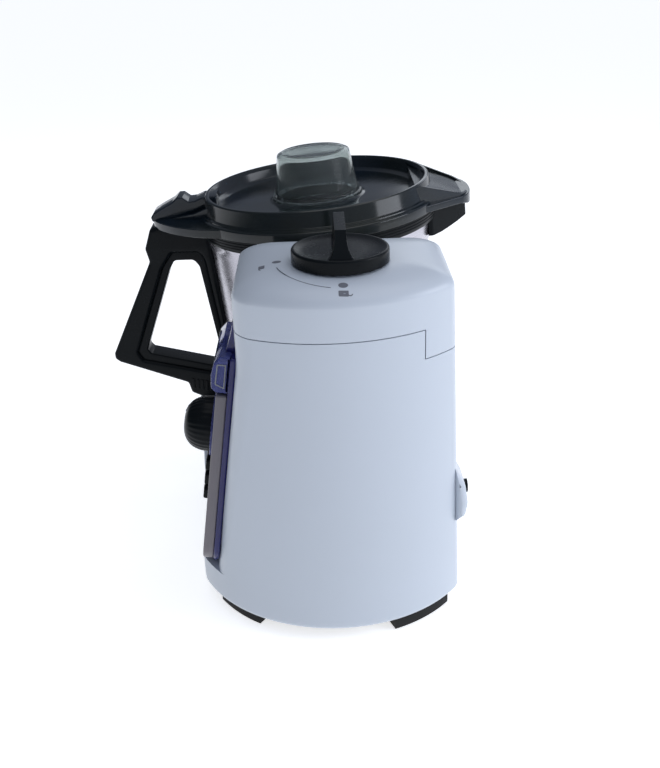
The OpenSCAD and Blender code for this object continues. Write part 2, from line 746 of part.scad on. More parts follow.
// ---- jug ----
jug_top_z = lid_z + 10;
rim_r = collar_r - 4.5;       // steel radius inside the collar
module vessel_outer(inset) {
    rotate_extrude() polygon([[0, jug_z + inset], [62 - inset, jug_z + inset],
        [70 - inset, jug_z + 3 + inset * 0.8], [76 - inset, jug_z + 10 + inset * 0.4],
        [jug_foot_r - inset, jug_z + 22], [jug_r - inset, lid_z - spout_h - 4],
        [rim_r - inset, lid_z - spout_h + 12], [rim_r - inset, jug_top_z], [0, jug_top_z]]);
}
module lid_place() { translate([0, 0, lid_z]) rotate([lid_tilt, 0, 0]) children(); }
hub_r = 14;
module jug_vessel() color("silver") {
    difference() {
        vessel_outer(0);
        vessel_outer(jug_wall);
        lid_place() translate([-big, -big, -3]) cube([2 * big, 2 * big, big]);
        translate([0, 0, jug_z - 1]) cylinder(r = hub_r, h = 10);
    }
}
spout_half = 34;
spout_y = 130;
module spout_plan(inset) {
    polygon([[-spout_half + inset, 90], [-spout_half + inset, 97 - inset], [-7 + inset * 0.6, spout_y - inset],
        [7 - inset * 0.6, spout_y - inset], [spout_half - inset, 97 - inset], [spout_half - inset, 90]]);
}
module jug_collar() color("black") {
    difference() {
        lid_place() difference() {
            union() {
                translate([0, 0, -collar_h]) cylinder(r = collar_r, h = collar_h);
                intersection() {
                    translate([0, 0, -spout_h]) linear_extrude(spout_h) spout_plan(0);
                    // underside of the spout sweeps up to its tip
                    rotate([90, 0, 90]) translate([0, 0, -60]) linear_extrude(120)
                        polygon([[80, -spout_h], [100, -spout_h], [120, -24], [spout_y, -20],
                            [spout_y, 0], [80, 0]]);
                }
                // block under the lid's ear, where the handle starts
                translate([-grip_w / 2 + 1, -collar_r - 8, -spout_h + 2]) cube([grip_w - 2, 20, spout_h - 2]);
            }
            // bore that the lid's plug enters
            translate([0, 0, -60]) cylinder(r = lip_r, h = 70);
            // pouring channel
            translate([0, 0, -14]) linear_extrude(30) spout_plan(4);
            // groove under the lid's skirt
            translate([0, 0, -2.5]) difference() {
                cylinder(r = lid_r + loose, h = 10);
                translate([0, 0, -1]) cylinder(r = collar_r, h = 20);
            }
        }
        // groove that takes the steel rim
        difference() {
            intersection() {
                vessel_outer(0);
                lid_place() translate([-big, -big, -60]) cube([2 * big, 2 * big, 57]);
            }
            lid_place() translate([0, 0, -15]) difference() {
                cylinder(r = lip_r + 1, h = 40);
                translate([0, 0, -1]) cylinder(r = lip_r, h = 60);
            }
        }
        translate([0, 0, jug_top_z - 90]) cylinder(r = lip_r - 1, h = 60);
    }
}
lip_r = 96;
// side outline of the handle, seen from the tower: [y, z]
grip_top = lid_z - 9;
module grip_outer() polygon([[-90, grip_top - 3], [-146, grip_top - 1.5], [-150, grip_top - 4],
    [-156, 251], [-156, 246], [-153.5, 238], [-179, 183], [-195, 151], [-195, 146], [-191, 142.5],
    [-166, 132.5], [-130, 118.5], [-127.5, 110], [-124, 106.5], [-116, 102], [-104, 96.5], [-80, 92]]);
module grip_window() polygon([[-129, 237], [-134, 231], [-151, 188], [-163.5, 154.5], [-162, 151],
    [-158, 149.8], [-130, 141.5], [-100, 134.5], [-97, 137], [-97.5, 160], [-103, 196], [-108, 228],
    [-112, 234], [-118, 237]]);
module jug_handle() color("black") {
    difference() {
        translate([-grip_w / 2, 0, 0]) rotate([90, 0, 90]) linear_extrude(grip_w) difference() {
            grip_outer();
            grip_window();
        }
        // the inner face follows the steel wall and the collar
        vessel_grown();
        lid_place() translate([0, 0, -collar_h - 0.2]) cylinder(r = collar_r + 0.2, h = 60);
        lid_place() translate([-grip_w / 2 + 0.8, -collar_r - 8.2, -spout_h + 1.8])
            cube([grip_w - 1.6, 30, 60]);
        translate([0, 0, 70]) cylinder(r = foot_top_r + 0.2, h = 30.2);
        for (p = handle_points) translate([0, 0, p[1]]) rotate([90, 0, 0])
            translate([0, 0, 80]) cylinder(r = screw_r, h = p[0]);
    }
}
handle_points = [[24, 150], [24, 205]];
module handle_screws() color("silver") {
    for (p = handle_points) translate([0, 0, p[1]]) rotate([90, 0, 0]) {
        translate([0, 0, handle_skin(p[1]) + 0.4]) cylinder(r = screw_r, h = 7);
    }
}
function handle_skin(z) = jug_foot_r + (jug_r - jug_foot_r) * (z - jug_z - 22)
    / (lid_z - spout_h - 4 - jug_z - 22);
module vessel_grown() {
    rotate_extrude() polygon([[0, 60], [jug_foot_r + 0.2, 60], [jug_foot_r + 0.2, jug_z + 22],
        [jug_r + 0.2, lid_z - spout_h - 4], [rim_r + 0.2, lid_z - spout_h + 12],
        [rim_r + 0.2, jug_top_z], [0, jug_top_z]]);
}
module jug_foot() color("black") {
    difference() {
        translate([0, 0, bay_floor_z + 2]) cylinder(r1 = foot_top_r - 4, r2 = foot_top_r, h = 28);
        vessel_outer(0);
        translate([0, 0, 60]) cylinder(r = 56, h = 30);
    }
}
module blade_bearing() color("gainsboro") {
    difference() {
        union() {
            translate([0, 0, jug_z - 3]) cylinder(r = 20, h = 3);
            translate([0, 0, jug_z - 3]) cylinder(r = hub_r, h = 12);
            translate([0, 0, jug_z + jug_wall]) cylinder(r1 = 20, r2 = hub_r, h = 6);
        }
        translate([0, 0, 50]) cylinder(r = blade_shaft_r + fit, h = 60);
        translate([0, 0, jug_z + 5]) cylinder(r = seal_r, h = 20);
    }
}
blade_shaft_r = 5;
seal_r = 9;
module blade_seal() color("dimgray") {
    translate([0, 0, jug_z + 5]) difference() {
        cylinder(r = seal_r, h = 4);
        translate([0, 0, -1]) cylinder(r = blade_shaft_r + 0.1, h = 10);
    }
}
module blade_shaft() color("silver") { translate([0, 0, 66]) cylinder(r = blade_shaft_r, h = 40); }
module blade_dog() color("black") {
    translate([0, 0, 62]) difference() {
        union() {
            cylinder(r = dog_r, h = 8);
            for (i = [0:dog_lobes - 1]) rotate(i * 90) translate([8, -2.6, 0]) cube([6.4, 5.2, 8]);
        }
        translate([0, 0, 4]) cylinder(r = blade_shaft_r, h = 10);
    }
}
module blade_arm(len, rise) {
    rotate([90, 0, 0]) translate([0, 0, -9]) linear_extrude(18)
        polygon([[0, 0], [20, 0], [len, rise], [len, rise + 1.6], [19.5, 1.6], [0, 1.6]]);
}
module blade_pair(z, len, rise, turn) {
    translate([0, 0, z]) rotate(turn) difference() {
        intersection() {
            union() {
                cylinder(r = 11, h = 1.6);
                for (a = [0, 180]) rotate(a) blade_arm(len, rise);
            }
            // blades narrow to a swept point
            translate([0, 0, -60]) linear_extrude(120) polygon([[12, 9], [-len * 0.6, 9], [-len, -4],
                [-len + 4, -7], [-12, -9], [len * 0.6, -9], [len, 4], [len - 4, 7]]);
        }
        translate([0, 0, -1]) cylinder(r = blade_shaft_r, h = 5);
    }
}
blade_z = jug_z + 15;
module lower_blades() color("silver") blade_pair(blade_z, 62, -3, 0);
module upper_blades() color("silver") blade_pair(blade_z + 4, 48, 18, 90);
module blade_nut() color("silver") {
    translate([0, 0, blade_z + 6]) difference() {
        union() {
            cylinder(r = 10, h = 2);
            cylinder(r1 = 9, r2 = 7, h = 14);
        }
        translate([0, 0, -1]) cylinder(r = blade_shaft_r, h = 10.2);
    }
}

// ---- lid and cup, in the lid's sloping frame ----
cup_flange_r = feed_r + cup_flange;
cup_top_r = feed_r - cup_taper;
plug_r = lip_r - 1.6;
lug_x = collar_r + 1.5;
lug_out = 6.5;
module lid() color([0.08, 0.1, 0.16]) {
    lid_place() union() {
            rotate_extrude() polygon([[feed_r, 0], [feed_r + 4, 0], [feed_r + 4, 7], [plug_r - lid_wall, 7],
                [plug_r - lid_wall, -12], [plug_r, -12], [plug_r, 5], [lip_r + 2.5, 5], [lip_r + 2.5, 0],
                [lip_r + 5, 0], [lip_r + 5, 5], [lid_r - 1.6, 5], [lid_r - 1.6, -2], [lid_r, -2],
                [lid_r, 8], [dish_r + 2, 8.5], [dish_r, dish_h - 1], [dish_r - 1, dish_h],
                [dish_r - 3, dish_h], [dish_r - 4.5, dish_h - 3], [dish_r - 7, 11.5],
                [dish_r - 12, 9.5], [feed_r + 8, 9.5], [feed_r + 6, 10.5], [feed_r, 10.5]]);
            ear();
            spout_ear();
    }
    lid_lug();
}
module ear() {
    // plate that runs into the flange
    translate([0, 0, 1.5]) linear_extrude(5) difference() {
        polygon([[-64, -82], [-57, -101], [-49, -113], [-40, -124], [-29, -134.5], [-20, -141],
            [-10, -145.5], [0, -147], [10, -145.5], [20, -141], [29, -134.5], [40, -124], [49, -113],
            [57, -101], [64, -82]]);
        circle(lid_r - 3);
    }
    // latch that stands on the plate
    difference() {
        translate([-13, 0, 0]) rotate([90, 0, 90]) linear_extrude(26)
            polygon([[-90, 5], [-147, 5], [-148, 9], [-145, 12], [-139, 15], [-127, 19.5], [-122, 23],
                [-117, 23], [-112.5, 18.6], [-107, 18.8], [-99, dish_h - 1], [-90, dish_h - 1]]);
        translate([0, 0, -1]) cylinder(r = dish_r - 2, h = 60);
    }
}
module spout_ear() {
    intersection() {
        translate([0, 0, -20]) linear_extrude(60) polygon([[-56, 80], [-53, 87], [-36, 122], [-29, 129],
            [-14, 133], [0, 134], [14, 133], [29, 129], [36, 122], [53, 87], [56, 80]]);
        difference() {
            rotate([90, 0, 90]) translate([0, 0, -60]) linear_extrude(120)
                polygon([[85, 1.5], [spout_y + 0.6, 1.5], [spout_y + 0.6, -5], [133, -6], [134, -3],
                    [133, 2], [127, 9], [118, 14], [104, 18.5], [99, dish_h - 2], [85, dish_h - 2]]);
            translate([0, 0, -1]) cylinder(r = dish_r - 2, h = 60);
        }
    }
}
// lug beside the tower that the bolt enters
module lid_lug() {
    difference() {
        union() {
            translate([lug_x, bolt_y0 - 6, bolt_z0 - 5])
                cube([lug_out, bolt_w + 12, lid_z + 7 - bolt_z0 + 5]);
            translate([lug_x - 6, bolt_y0 - 6, lid_z + 4]) cube([10, bolt_w + 12, 3]);
        }
        translate([lug_x - 5, bolt_y0 - 1.5, bolt_z0 - 2]) cube([20, bolt_w + 3, bolt_t + 4]);
        translate([0, 0, 200]) cylinder(r = collar_r + 1.2, h = lid_z - 1 - 200);
    }
}
module lid_gasket() color("gray") {
    lid_place() translate([0, 0, -9]) difference() {
        cylinder(r = plug_r + 0.9, h = 4);
        translate([0, 0, -1]) cylinder(r = plug_r, h = 10);
    }
}
module measuring_cup() color([0.75, 0.78, 0.8, 0.6]) {
    seat = 10.5;
    lid_place() rotate_extrude() polygon([[feed_r - loose, 1], [feed_r - loose, seat], [cup_flange_r, seat],
        [cup_flange_r, seat + 2], [cup_flange_r - 2, seat + 3], [cup_top_r + 6.5, seat + 4.5],
        [cup_top_r + 4.6, cup_h - 23], [cup_top_r + 1.8, cup_h - 4.5], [cup_top_r + 0.3, cup_h - 1.2],
        [cup_top_r - 2.5, cup_h], [0, cup_h], [0, cup_h - cup_wall],
        [cup_top_r - cup_wall, cup_h - cup_wall], [cup_top_r + 2.2 - cup_wall, cup_h - 17],
        [feed_r - loose - cup_wall, seat + 2], [feed_r - loose - cup_wall, 1]]);
}

base_plate();
tower_shell();
jug_bay();
top_cover();
rear_hood();
cable_gland();
panel_frame();
panel_fascia();
display_window();
display_module();
control_board();
speed_switch();
key_mat();
feet();
base_screws();
guide_screws();
motor_can();
motor_caps();
motor_bearings();
motor_bracket();
drive_belt();
spindle_housing();
spindle_bearings();
heating_coil();
coil_tray();
seat_ring();
temperature_sensor();
power_board();
heat_sink();
lock_guide();
lock_switch();
motor_rotor();
motor_pulley();
cooling_fan();
drive_spindle();
driven_pulley();
drive_socket();
lock_knob();
lock_shaft();
lock_bolt();
speed_dial();
dial_shaft();
time_key();
heat_key();
boost_key();
jug_vessel();
jug_collar();
jug_handle();
jug_foot();
handle_screws();
blade_bearing();
blade_seal();
blade_shaft();
lower_blades();
upper_blades();
blade_nut();
blade_dog();
lid();
lid_gasket();
measuring_cup();
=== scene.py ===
import json
import math
import bmesh
import bpy
from mathutils import Matrix, Vector

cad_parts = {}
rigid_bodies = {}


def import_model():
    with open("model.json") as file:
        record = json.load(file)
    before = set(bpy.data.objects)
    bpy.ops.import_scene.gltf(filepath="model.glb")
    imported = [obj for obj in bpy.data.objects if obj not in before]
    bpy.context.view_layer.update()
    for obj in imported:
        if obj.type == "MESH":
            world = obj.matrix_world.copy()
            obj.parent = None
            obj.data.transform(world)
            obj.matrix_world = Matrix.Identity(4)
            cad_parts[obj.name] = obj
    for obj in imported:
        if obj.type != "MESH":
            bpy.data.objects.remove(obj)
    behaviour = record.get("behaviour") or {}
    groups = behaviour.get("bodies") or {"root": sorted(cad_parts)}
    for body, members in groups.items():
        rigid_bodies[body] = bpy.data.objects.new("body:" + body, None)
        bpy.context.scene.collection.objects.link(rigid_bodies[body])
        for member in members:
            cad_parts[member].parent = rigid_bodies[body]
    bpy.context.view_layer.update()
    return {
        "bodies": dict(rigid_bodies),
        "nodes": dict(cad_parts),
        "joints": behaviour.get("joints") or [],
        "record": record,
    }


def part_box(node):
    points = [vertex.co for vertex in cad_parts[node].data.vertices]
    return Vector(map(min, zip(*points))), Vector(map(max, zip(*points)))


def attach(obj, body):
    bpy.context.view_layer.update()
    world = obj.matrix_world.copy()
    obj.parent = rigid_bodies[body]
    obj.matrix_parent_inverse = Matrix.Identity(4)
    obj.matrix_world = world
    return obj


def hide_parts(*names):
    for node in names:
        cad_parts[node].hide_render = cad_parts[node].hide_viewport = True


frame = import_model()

mm = 0.001


def boxOf(node):  # lowest and highest corner in millimetres
    low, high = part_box(node)
    return low / mm, high / mm


def mixed(a, b, t):
    return a + (b - a) * t


def smooth(t):
    t = min(max(t, 0), 1)
    return t * t * (3 - 2 * t)


# ---- camera, floor and light ----

camera = {
    "place": (0.87403, -0.00028, 0.50995),
    "turn": 179.67,   # the way it looks, degrees round from +X
    "down": 24.81,
    "roll": 1.95,
    "lens": 54.545,
}
studio = {
    "floor": (0.93, 0.935, 0.94),
    "floorHalf": 60,
    "floorGlow": 0.67,           # lifts the paper floor to an even white
    "darkSide": (0.07, 0.09, 0.12),
    "brightSide": (0.74, 0.80, 0.95),
    "brightFrom": (0.25, 0.80, 0.45),   # the side that the room's light comes from
    "worldStrength": 0.62,
    "overheadPower": 5,
    "windowPower": 10,
    "backPower": 2.5,
}


def placeCamera():
    a, p, r = (math.radians(camera[k]) for k in ("turn", "down", "roll"))
    look = Vector((math.cos(a) * math.cos(p), math.sin(a) * math.cos(p), -math.sin(p)))
    level = look.cross(Vector((0, 0, 1))).normalized()
    below = look.cross(level)
    right = math.cos(r) * level + math.sin(r) * below
    up = math.sin(r) * level - math.cos(r) * below
    data = bpy.data.cameras.new("camera")
    data.sensor_fit = "HORIZONTAL"
    data.lens = camera["lens"]
    data.clip_start = 0.02
    eye = bpy.data.objects.new("camera", data)
    eye.matrix_world = Matrix((
        (right.x, up.x, -look.x, camera["place"][0]),
        (right.y, up.y, -look.y, camera["place"][1]),
        (right.z, up.z, -look.z, camera["place"][2]),
        (0, 0, 0, 1)))
    bpy.context.scene.collection.objects.link(eye)
    bpy.context.scene.camera = eye


def addLight(name, place, aim, size, power, colour=(1, 1, 1)):
    data = bpy.data.lights.new(name, "AREA")
    data.shape = "RECTANGLE"
    data.size, data.size_y = size
    data.energy = power
    data.color = colour
    lamp = bpy.data.objects.new(name, data)
    lamp.location = place
    lamp.rotation_euler = (Vector(aim) - Vector(place)).to_track_quat("-Z", "Y").to_euler()
    bpy.context.scene.collection.objects.link(lamp)


def buildStudio():
    bpy.context.scene.view_settings.view_transform = "Standard"
    world = bpy.data.worlds.new("studio")
    world.use_nodes = True
    nodes, links = world.node_tree.nodes, world.node_tree.links
    side = nodes.new("ShaderNodeVectorMath")
    side.operation = "DOT_PRODUCT"
    side.inputs[1].default_value = Vector(studio["brightFrom"]).normalized()
    links.new(nodes.new("ShaderNodeTexCoord").outputs["Generated"], side.inputs[0])
    blend = nodes.new("ShaderNodeMix")
    blend.data_type = "RGBA"
    links.new(spread(nodes, links, side.outputs["Value"], 0, 1, -0.7, 0.9), blend.inputs["Factor"])
    blend.inputs[6].default_value = (*studio["darkSide"], 1)
    blend.inputs[7].default_value = (*studio["brightSide"], 1)
    sky = nodes["Background"]
    links.new(blend.outputs[2], sky.inputs["Color"])
    sky.inputs["Strength"].default_value = studio["worldStrength"]
    bpy.context.scene.world = world
    addLight("overhead", (0.1, 0.25, 1.6), (0.1, 0, 0.1), (1.2, 1.2), studio["overheadPower"])
    addLight("window", (0.55, 1.6, 0.8), (0.1, 0, 0.2), (0.9, 0.8), studio["windowPower"],
             (0.88, 0.92, 1.0))
    addLight("far_window", (-1.5, 0.6, 0.9), (0, 0, 0.25), (1.0, 0.6), studio["backPower"],
             (0.90, 0.95, 1.0))
    half = studio["floorHalf"]
    floor = bpy.data.meshes.new("floor")
    floor.from_pydata([(-half, -half, 0), (half, -half, 0), (half, half, 0), (-half, half, 0)],
                      [], [(0, 1, 2, 3)])
    piece = bpy.data.objects.new("floor", floor)
    finish, nodes, links, shader, place = startFinish("floorPaper")
    shader.inputs["Roughness"].default_value = 0.9
    shader.inputs["Emission Color"].default_value = (1, 1, 1, 1)
    shader.inputs["Emission Strength"].default_value = studio["floorGlow"]
    grain = noiseOn(nodes, links, place, 60)
    tint(nodes, links, shader, grain, studio["floor"], tuple(c * 0.985 for c in studio["floor"]))
    floor.materials.append(finish)
    bpy.context.scene.collection.objects.link(piece)


# ---- finishes ----

def startFinish(name):
    finish = bpy.data.materials.new(name)
    finish.use_nodes = True
    nodes, links = finish.node_tree.nodes, finish.node_tree.links
    place = nodes.new("ShaderNodeTexCoord").outputs["Object"]
    return finish, nodes, links, nodes["Principled BSDF"], place


def noiseOn(nodes, links, place, scale, detail=4, stretch=None, rough=0.55):
    if stretch:
        mapping = nodes.new("ShaderNodeMapping")
        mapping.inputs["Scale"].default_value = stretch
        links.new(place, mapping.inputs["Vector"])
        place = mapping.outputs["Vector"]
    noise = nodes.new("ShaderNodeTexNoise")
    noise.inputs["Scale"].default_value = scale
    noise.inputs["Detail"].default_value = detail
    noise.inputs["Roughness"].default_value = rough
    links.new(place, noise.inputs["Vector"])
    return noise.outputs["Fac"]


def spread(nodes, links, value, low, high, start=0.3, end=0.7):  # remaps a texture's value
    remap = nodes.new("ShaderNodeMapRange")
    for key, number in (("From Min", start), ("From Max", end), ("To Min", low), ("To Max", high)):
        remap.inputs[key].default_value = number
    links.new(value, remap.inputs["Value"])
    return remap.outputs["Result"]


def tint(nodes, links, shader, value, first, second, start=0.3, end=0.7):
    blend = nodes.new("ShaderNodeMix")
    blend.data_type = "RGBA"
    links.new(spread(nodes, links, value, 0, 1, start, end), blend.inputs["Factor"])
    blend.inputs[6].default_value = (*first, 1)
    blend.inputs[7].default_value = (*second, 1)
    links.new(blend.outputs[2], shader.inputs["Base Color"])
    return blend.outputs[2]


def addBump(nodes, links, shader, value, strength, depth):
    bump = nodes.new("ShaderNodeBump")
    bump.inputs["Strength"].default_value = strength
    bump.inputs["Distance"].default_value = depth
    links.new(value, bump.inputs["Height"])
    links.new(bump.outputs["Normal"], shader.inputs["Normal"])


plastics = {
    # colour, worn colour, low and high roughness, grain size and depth, gloss, clear coat
    "white_shell": dict(colour=(0.545, 0.595, 0.665), worn=(0.535, 0.585, 0.65), rough=(0.28, 0.38),
                        grain=900, depth=0.00002, gloss=0.4, coat=0.1),
    "grey_base": dict(colour=(0.05, 0.05, 0.055), worn=(0.07, 0.07, 0.07), rough=(0.5, 0.65),
                      grain=1500, depth=0.00008, gloss=0.3, coat=0),
    "black_plastic": dict(colour=(0.0035, 0.005, 0.0065), worn=(0.006, 0.008, 0.009),
                          rough=(0.24, 0.34), grain=1200, depth=0.00002, gloss=0.1, coat=0),
    "black_rubber": dict(colour=(0.010, 0.010, 0.011), worn=(0.02, 0.02, 0.02),
                         rough=(0.6, 0.8), grain=900, depth=0.00010, gloss=0.2, coat=0),
    "grey_rubber": dict(colour=(0.2, 0.21, 0.22), worn=(0.26, 0.27, 0.28), rough=(0.45, 0.6),
                        grain=900, depth=0.00005, gloss=0.4, coat=0),
    "grey_fascia": dict(colour=(0.145, 0.135, 0.15), worn=(0.165, 0.15, 0.165), rough=(0.3, 0.42),
                        grain=1400, depth=0.00003, gloss=0.35, coat=0.1),
    "board_green": dict(colour=(0.02, 0.13, 0.05), worn=(0.03, 0.18, 0.07), rough=(0.3, 0.4),
                        grain=500, depth=0.00004, gloss=0.5, coat=0.3),
    "grey_plastic": dict(colour=(0.12, 0.125, 0.13), worn=(0.16, 0.165, 0.17), rough=(0.4, 0.55),
                         grain=1100, depth=0.00004, gloss=0.4, coat=0),
    "printed_grey": dict(colour=(0.13, 0.14, 0.17), worn=(0.17, 0.18, 0.21), rough=(0.45, 0.55),
                         grain=1400, depth=0.00001, gloss=0.3, coat=0),
}
clears = {
    # colour, deep colour, share of light let through, roughness, refraction, gloss
    "violet_clear": dict(colour=(0.030, 0.030, 0.20), deep=(0.018, 0.020, 0.13), through=0.3,
                         rough=(0.08, 0.2), bend=1.45, gloss=0.45),
    "blue_clear": dict(colour=(0.16, 0.19, 0.52), deep=(0.10, 0.12, 0.40), through=0.62,
                       rough=(0.06, 0.14), bend=1.3, gloss=0.5),
    "smoky_lid": dict(colour=(0.004, 0.011, 0.022), deep=(0.012, 0.015, 0.010), through=0.12,
                      rough=(0.1, 0.2), bend=1.45, gloss=0.42),
    "clear_cup": dict(colour=(0.62, 0.67, 0.68), deep=(0.52, 0.56, 0.53), through=0.93,
                      rough=(0.06, 0.14), bend=1.13, gloss=0.7),
    "dark_glass": dict(colour=(0.03, 0.05, 0.05), deep=(0.02, 0.03, 0.03), through=0.3,
                       rough=(0.05, 0.1), bend=1.45, gloss=0.5),
}
metals = {
    # colour, roughness, direction in which the brush marks are drawn out
    "jug_steel": dict(colour=(0.50, 0.49, 0.54), rough=(0.24, 0.30), stretch=(1, 1, 160)),
    "blade_steel": dict(colour=(0.62, 0.63, 0.64), rough=(0.12, 0.22), stretch=(60, 60, 60)),
    "screw_steel": dict(colour=(0.5, 0.51, 0.52), rough=(0.25, 0.4), stretch=(80, 80, 80)),
    "motor_steel": dict(colour=(0.38, 0.39, 0.41), rough=(0.3, 0.45), stretch=(4, 4, 90)),
    "cast_alloy": dict(colour=(0.5, 0.51, 0.53), rough=(0.4, 0.55), stretch=(120, 120, 120)),
    "bearing_steel": dict(colour=(0.55, 0.56, 0.57), rough=(0.15, 0.28), stretch=(3, 3, 200)),
    "coil_copper": dict(colour=(0.62, 0.26, 0.11), rough=(0.25, 0.4), stretch=(200, 200, 8)),
    "sensor_brass": dict(colour=(0.66, 0.5, 0.22), rough=(0.2, 0.3), stretch=(60, 60, 60)),
    "plated_steel": dict(colour=(0.5, 0.5, 0.52), rough=(0.25, 0.4), stretch=(90, 90, 90)),
}
finishes = {}


def makePlastic(name, look):
    finish, nodes, links, shader, place = startFinish(name)
    patches = noiseOn(nodes, links, place, 7)
    tint(nodes, links, shader, patches, look["colour"], look["worn"])
    smears = noiseOn(nodes, links, place, 22, 6)
    links.new(spread(nodes, links, smears, *look["rough"]), shader.inputs["Roughness"])
    addBump(nodes, links, shader, noiseOn(nodes, links, place, look["grain"], 2), 0.35, look["depth"])
    shader.inputs["Specular IOR Level"].default_value = look["gloss"]
    shader.inputs["Coat Weight"].default_value = look["coat"]
    shader.inputs["Coat Roughness"].default_value = 0.12
    finishes[name] = finish


def makeClear(name, look):
    finish, nodes, links, shader, place = startFinish(name)
    tint(nodes, links, shader, noiseOn(nodes, links, place, 9), look["colour"], look["deep"])
    haze = noiseOn(nodes, links, place, 30, 6)
    links.new(spread(nodes, links, haze, *look["rough"]), shader.inputs["Roughness"])
    shader.inputs["Transmission Weight"].default_value = look["through"]
    shader.inputs["IOR"].default_value = look["bend"]
    shader.inputs["Specular IOR Level"].default_value = look["gloss"]
    finishes[name] = finish


def makeMetal(name, look):
    finish, nodes, links, shader, place = startFinish(name)
    brush = noiseOn(nodes, links, place, 6, 4, look["stretch"], 0.5)
    tint(nodes, links, shader, brush, look["colour"], tuple(c * 0.94 for c in look["colour"]))
    links.new(spread(nodes, links, brush, *look["rough"]), shader.inputs["Roughness"])
    addBump(nodes, links, shader, brush, 0.08, 0.00001)
    shader.inputs["Metallic"].default_value = 1
    finishes[name] = finish


def makeFinishes():
    for name, look in plastics.items():
        makePlastic(name, look)
    for name, look in clears.items():
        makeClear(name, look)
    for name, look in metals.items():
        makeMetal(name, look)


def dressNodes():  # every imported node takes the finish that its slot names
    for part in frame["record"]["subparts"]:
        node = frame["nodes"][part["node"]]
        node.data.materials.clear()
        node.data.materials.append(finishes[part["material_slot"]])


# ---- mesh helpers, in millimetres ----

def arcOf(cx, cy, r, start, end, steps, first=0):
    turns = [math.radians(start + (end - start) * i / steps) for i in range(first, steps + 1)]
    return [(cx + r * math.cos(a), cy + r * math.sin(a)) for a in turns]


def newPiece(name, points, faces, finish, body):
    mesh = bpy.data.meshes.new(name)
    mesh.from_pydata([tuple(c * mm for c in p) for p in points], [], faces)
    work = bmesh.new()
    work.from_mesh(mesh)
    bmesh.ops.remove_doubles(work, verts=work.verts, dist=0.000002)
    bmesh.ops.delete(work, geom=[v for v in work.verts if not v.link_faces], context="VERTS")
    bmesh.ops.recalc_face_normals(work, faces=work.faces)
    for face in work.faces:
        face.smooth = True
    work.to_mesh(mesh)
    work.free()
    mesh.materials.append(finishes[finish])
    piece = bpy.data.objects.new(name, mesh)
    bpy.context.scene.collection.objects.link(piece)
    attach(piece, body)
    return piece


def softenEdges(piece, width, steps=3, limit=35):
    bevel = piece.modifiers.new("soft_edges", "BEVEL")
    bevel.width = width * mm
    bevel.segments = steps
    bevel.limit_method = "ANGLE"
    bevel.angle_limit = math.radians(limit)
    bevel.use_clamp_overlap = True
    normals = piece.modifiers.new("even_shading", "WEIGHTED_NORMAL")
    normals.keep_sharp = False
    for face in piece.data.polygons:
        face.use_smooth = True


def loftBetween(rings, closed=True, capLow=True, capHigh=True):  # rings of equal length
    count = len(rings[0])
    points = [p for ring in rings for p in ring]
    faces = []
    for j in range(len(rings) - 1):
        for i in range(count if closed else count - 1):
            k = (i + 1) % count
            faces.append((j * count + i, j * count + k, (j + 1) * count + k, (j + 1) * count + i))
    if capLow:
        faces.append(tuple(reversed(range(count))))
    if capHigh:
        faces.append(tuple((len(rings) - 1) * count + i for i in range(count)))
    return points, faces


def spun(profile, steps=128, close=True):  # profile of (radius, height), turned round +Z
    points, faces = [], []
    count = len(profile)
    for i in range(steps):
        a = 2 * math.pi * i / steps
        points += [(r * math.cos(a), r * math.sin(a), z) for r, z in profile]
    for i in range(steps):
        k = (i + 1) % steps
        for j in range(count if close else count - 1):
            n = (j + 1) % count
            faces.append((i * count + j, k * count + j, k * count + n, i * count + n))
    return points, faces


def rounded(corners, steps=5):  # corners of (x, y, radius) become arcs
    out = []
    count = len(corners)
    for i in range(count):
        here = Vector(corners[i][:2])
        r = corners[i][2]
        before = Vector(corners[i - 1][:2]) - here
        after = Vector(corners[(i + 1) % count][:2]) - here
        if r <= 0:
            out.append(tuple(here))
            continue
        half = before.angle(after) / 2
        reach = min(r / math.tan(half), before.length * 0.49, after.length * 0.49)
        r = reach * math.tan(half)
        middle = here + (before.normalized() + after.normalized()).normalized() * (r / math.sin(half))
        start = here + before.normalized() * reach - middle
        end = here + after.normalized() * reach - middle
        sweep = start.angle_signed(end)
        for k in range(steps + 1):
            turn = Matrix.Rotation(-sweep * k / steps, 2)
            out.append(tuple(middle + turn @ start))
    return out


def slabOf(name, outlines, depth, edge, finish, body, lay):
    # a plate with rounded edges; the first outline is its edge and the rest are holes
    curve = bpy.data.curves.new(name, "CURVE")
    curve.dimensions = "2D"
    curve.fill_mode = "BOTH"
    curve.extrude = (depth / 2 - edge) * mm
    curve.bevel_depth = edge * mm
    curve.bevel_resolution = 3
    curve.offset = -edge * mm
    for outline in outlines:
        spline = curve.splines.new("POLY")
        spline.points.add(len(outline) - 1)
        for point, (a, b) in zip(spline.points, outline):
            point.co = (a * mm, b * mm, 0, 1)
        spline.use_cyclic_u = True
    draft = bpy.data.objects.new(name, curve)
    bpy.context.scene.collection.objects.link(draft)
    shape = bpy.data.meshes.new_from_object(draft.evaluated_get(bpy.context.evaluated_depsgraph_get()))
    points = [lay(v.co.x / mm, v.co.y / mm, v.co.z / mm) for v in shape.vertices]
    faces = [tuple(face.vertices) for face in shape.polygons]
    bpy.data.objects.remove(draft)
    bpy.data.meshes.remove(shape)
    bpy.data.curves.remove(curve)
    return newPiece(name, points, faces, finish, body)


def evenShading(piece, angle=35):
    for face in piece.data.polygons:
        face.use_smooth = True
    piece.data.set_sharp_from_angle(angle=math.radians(angle))


# ---- white tower and its cover ----

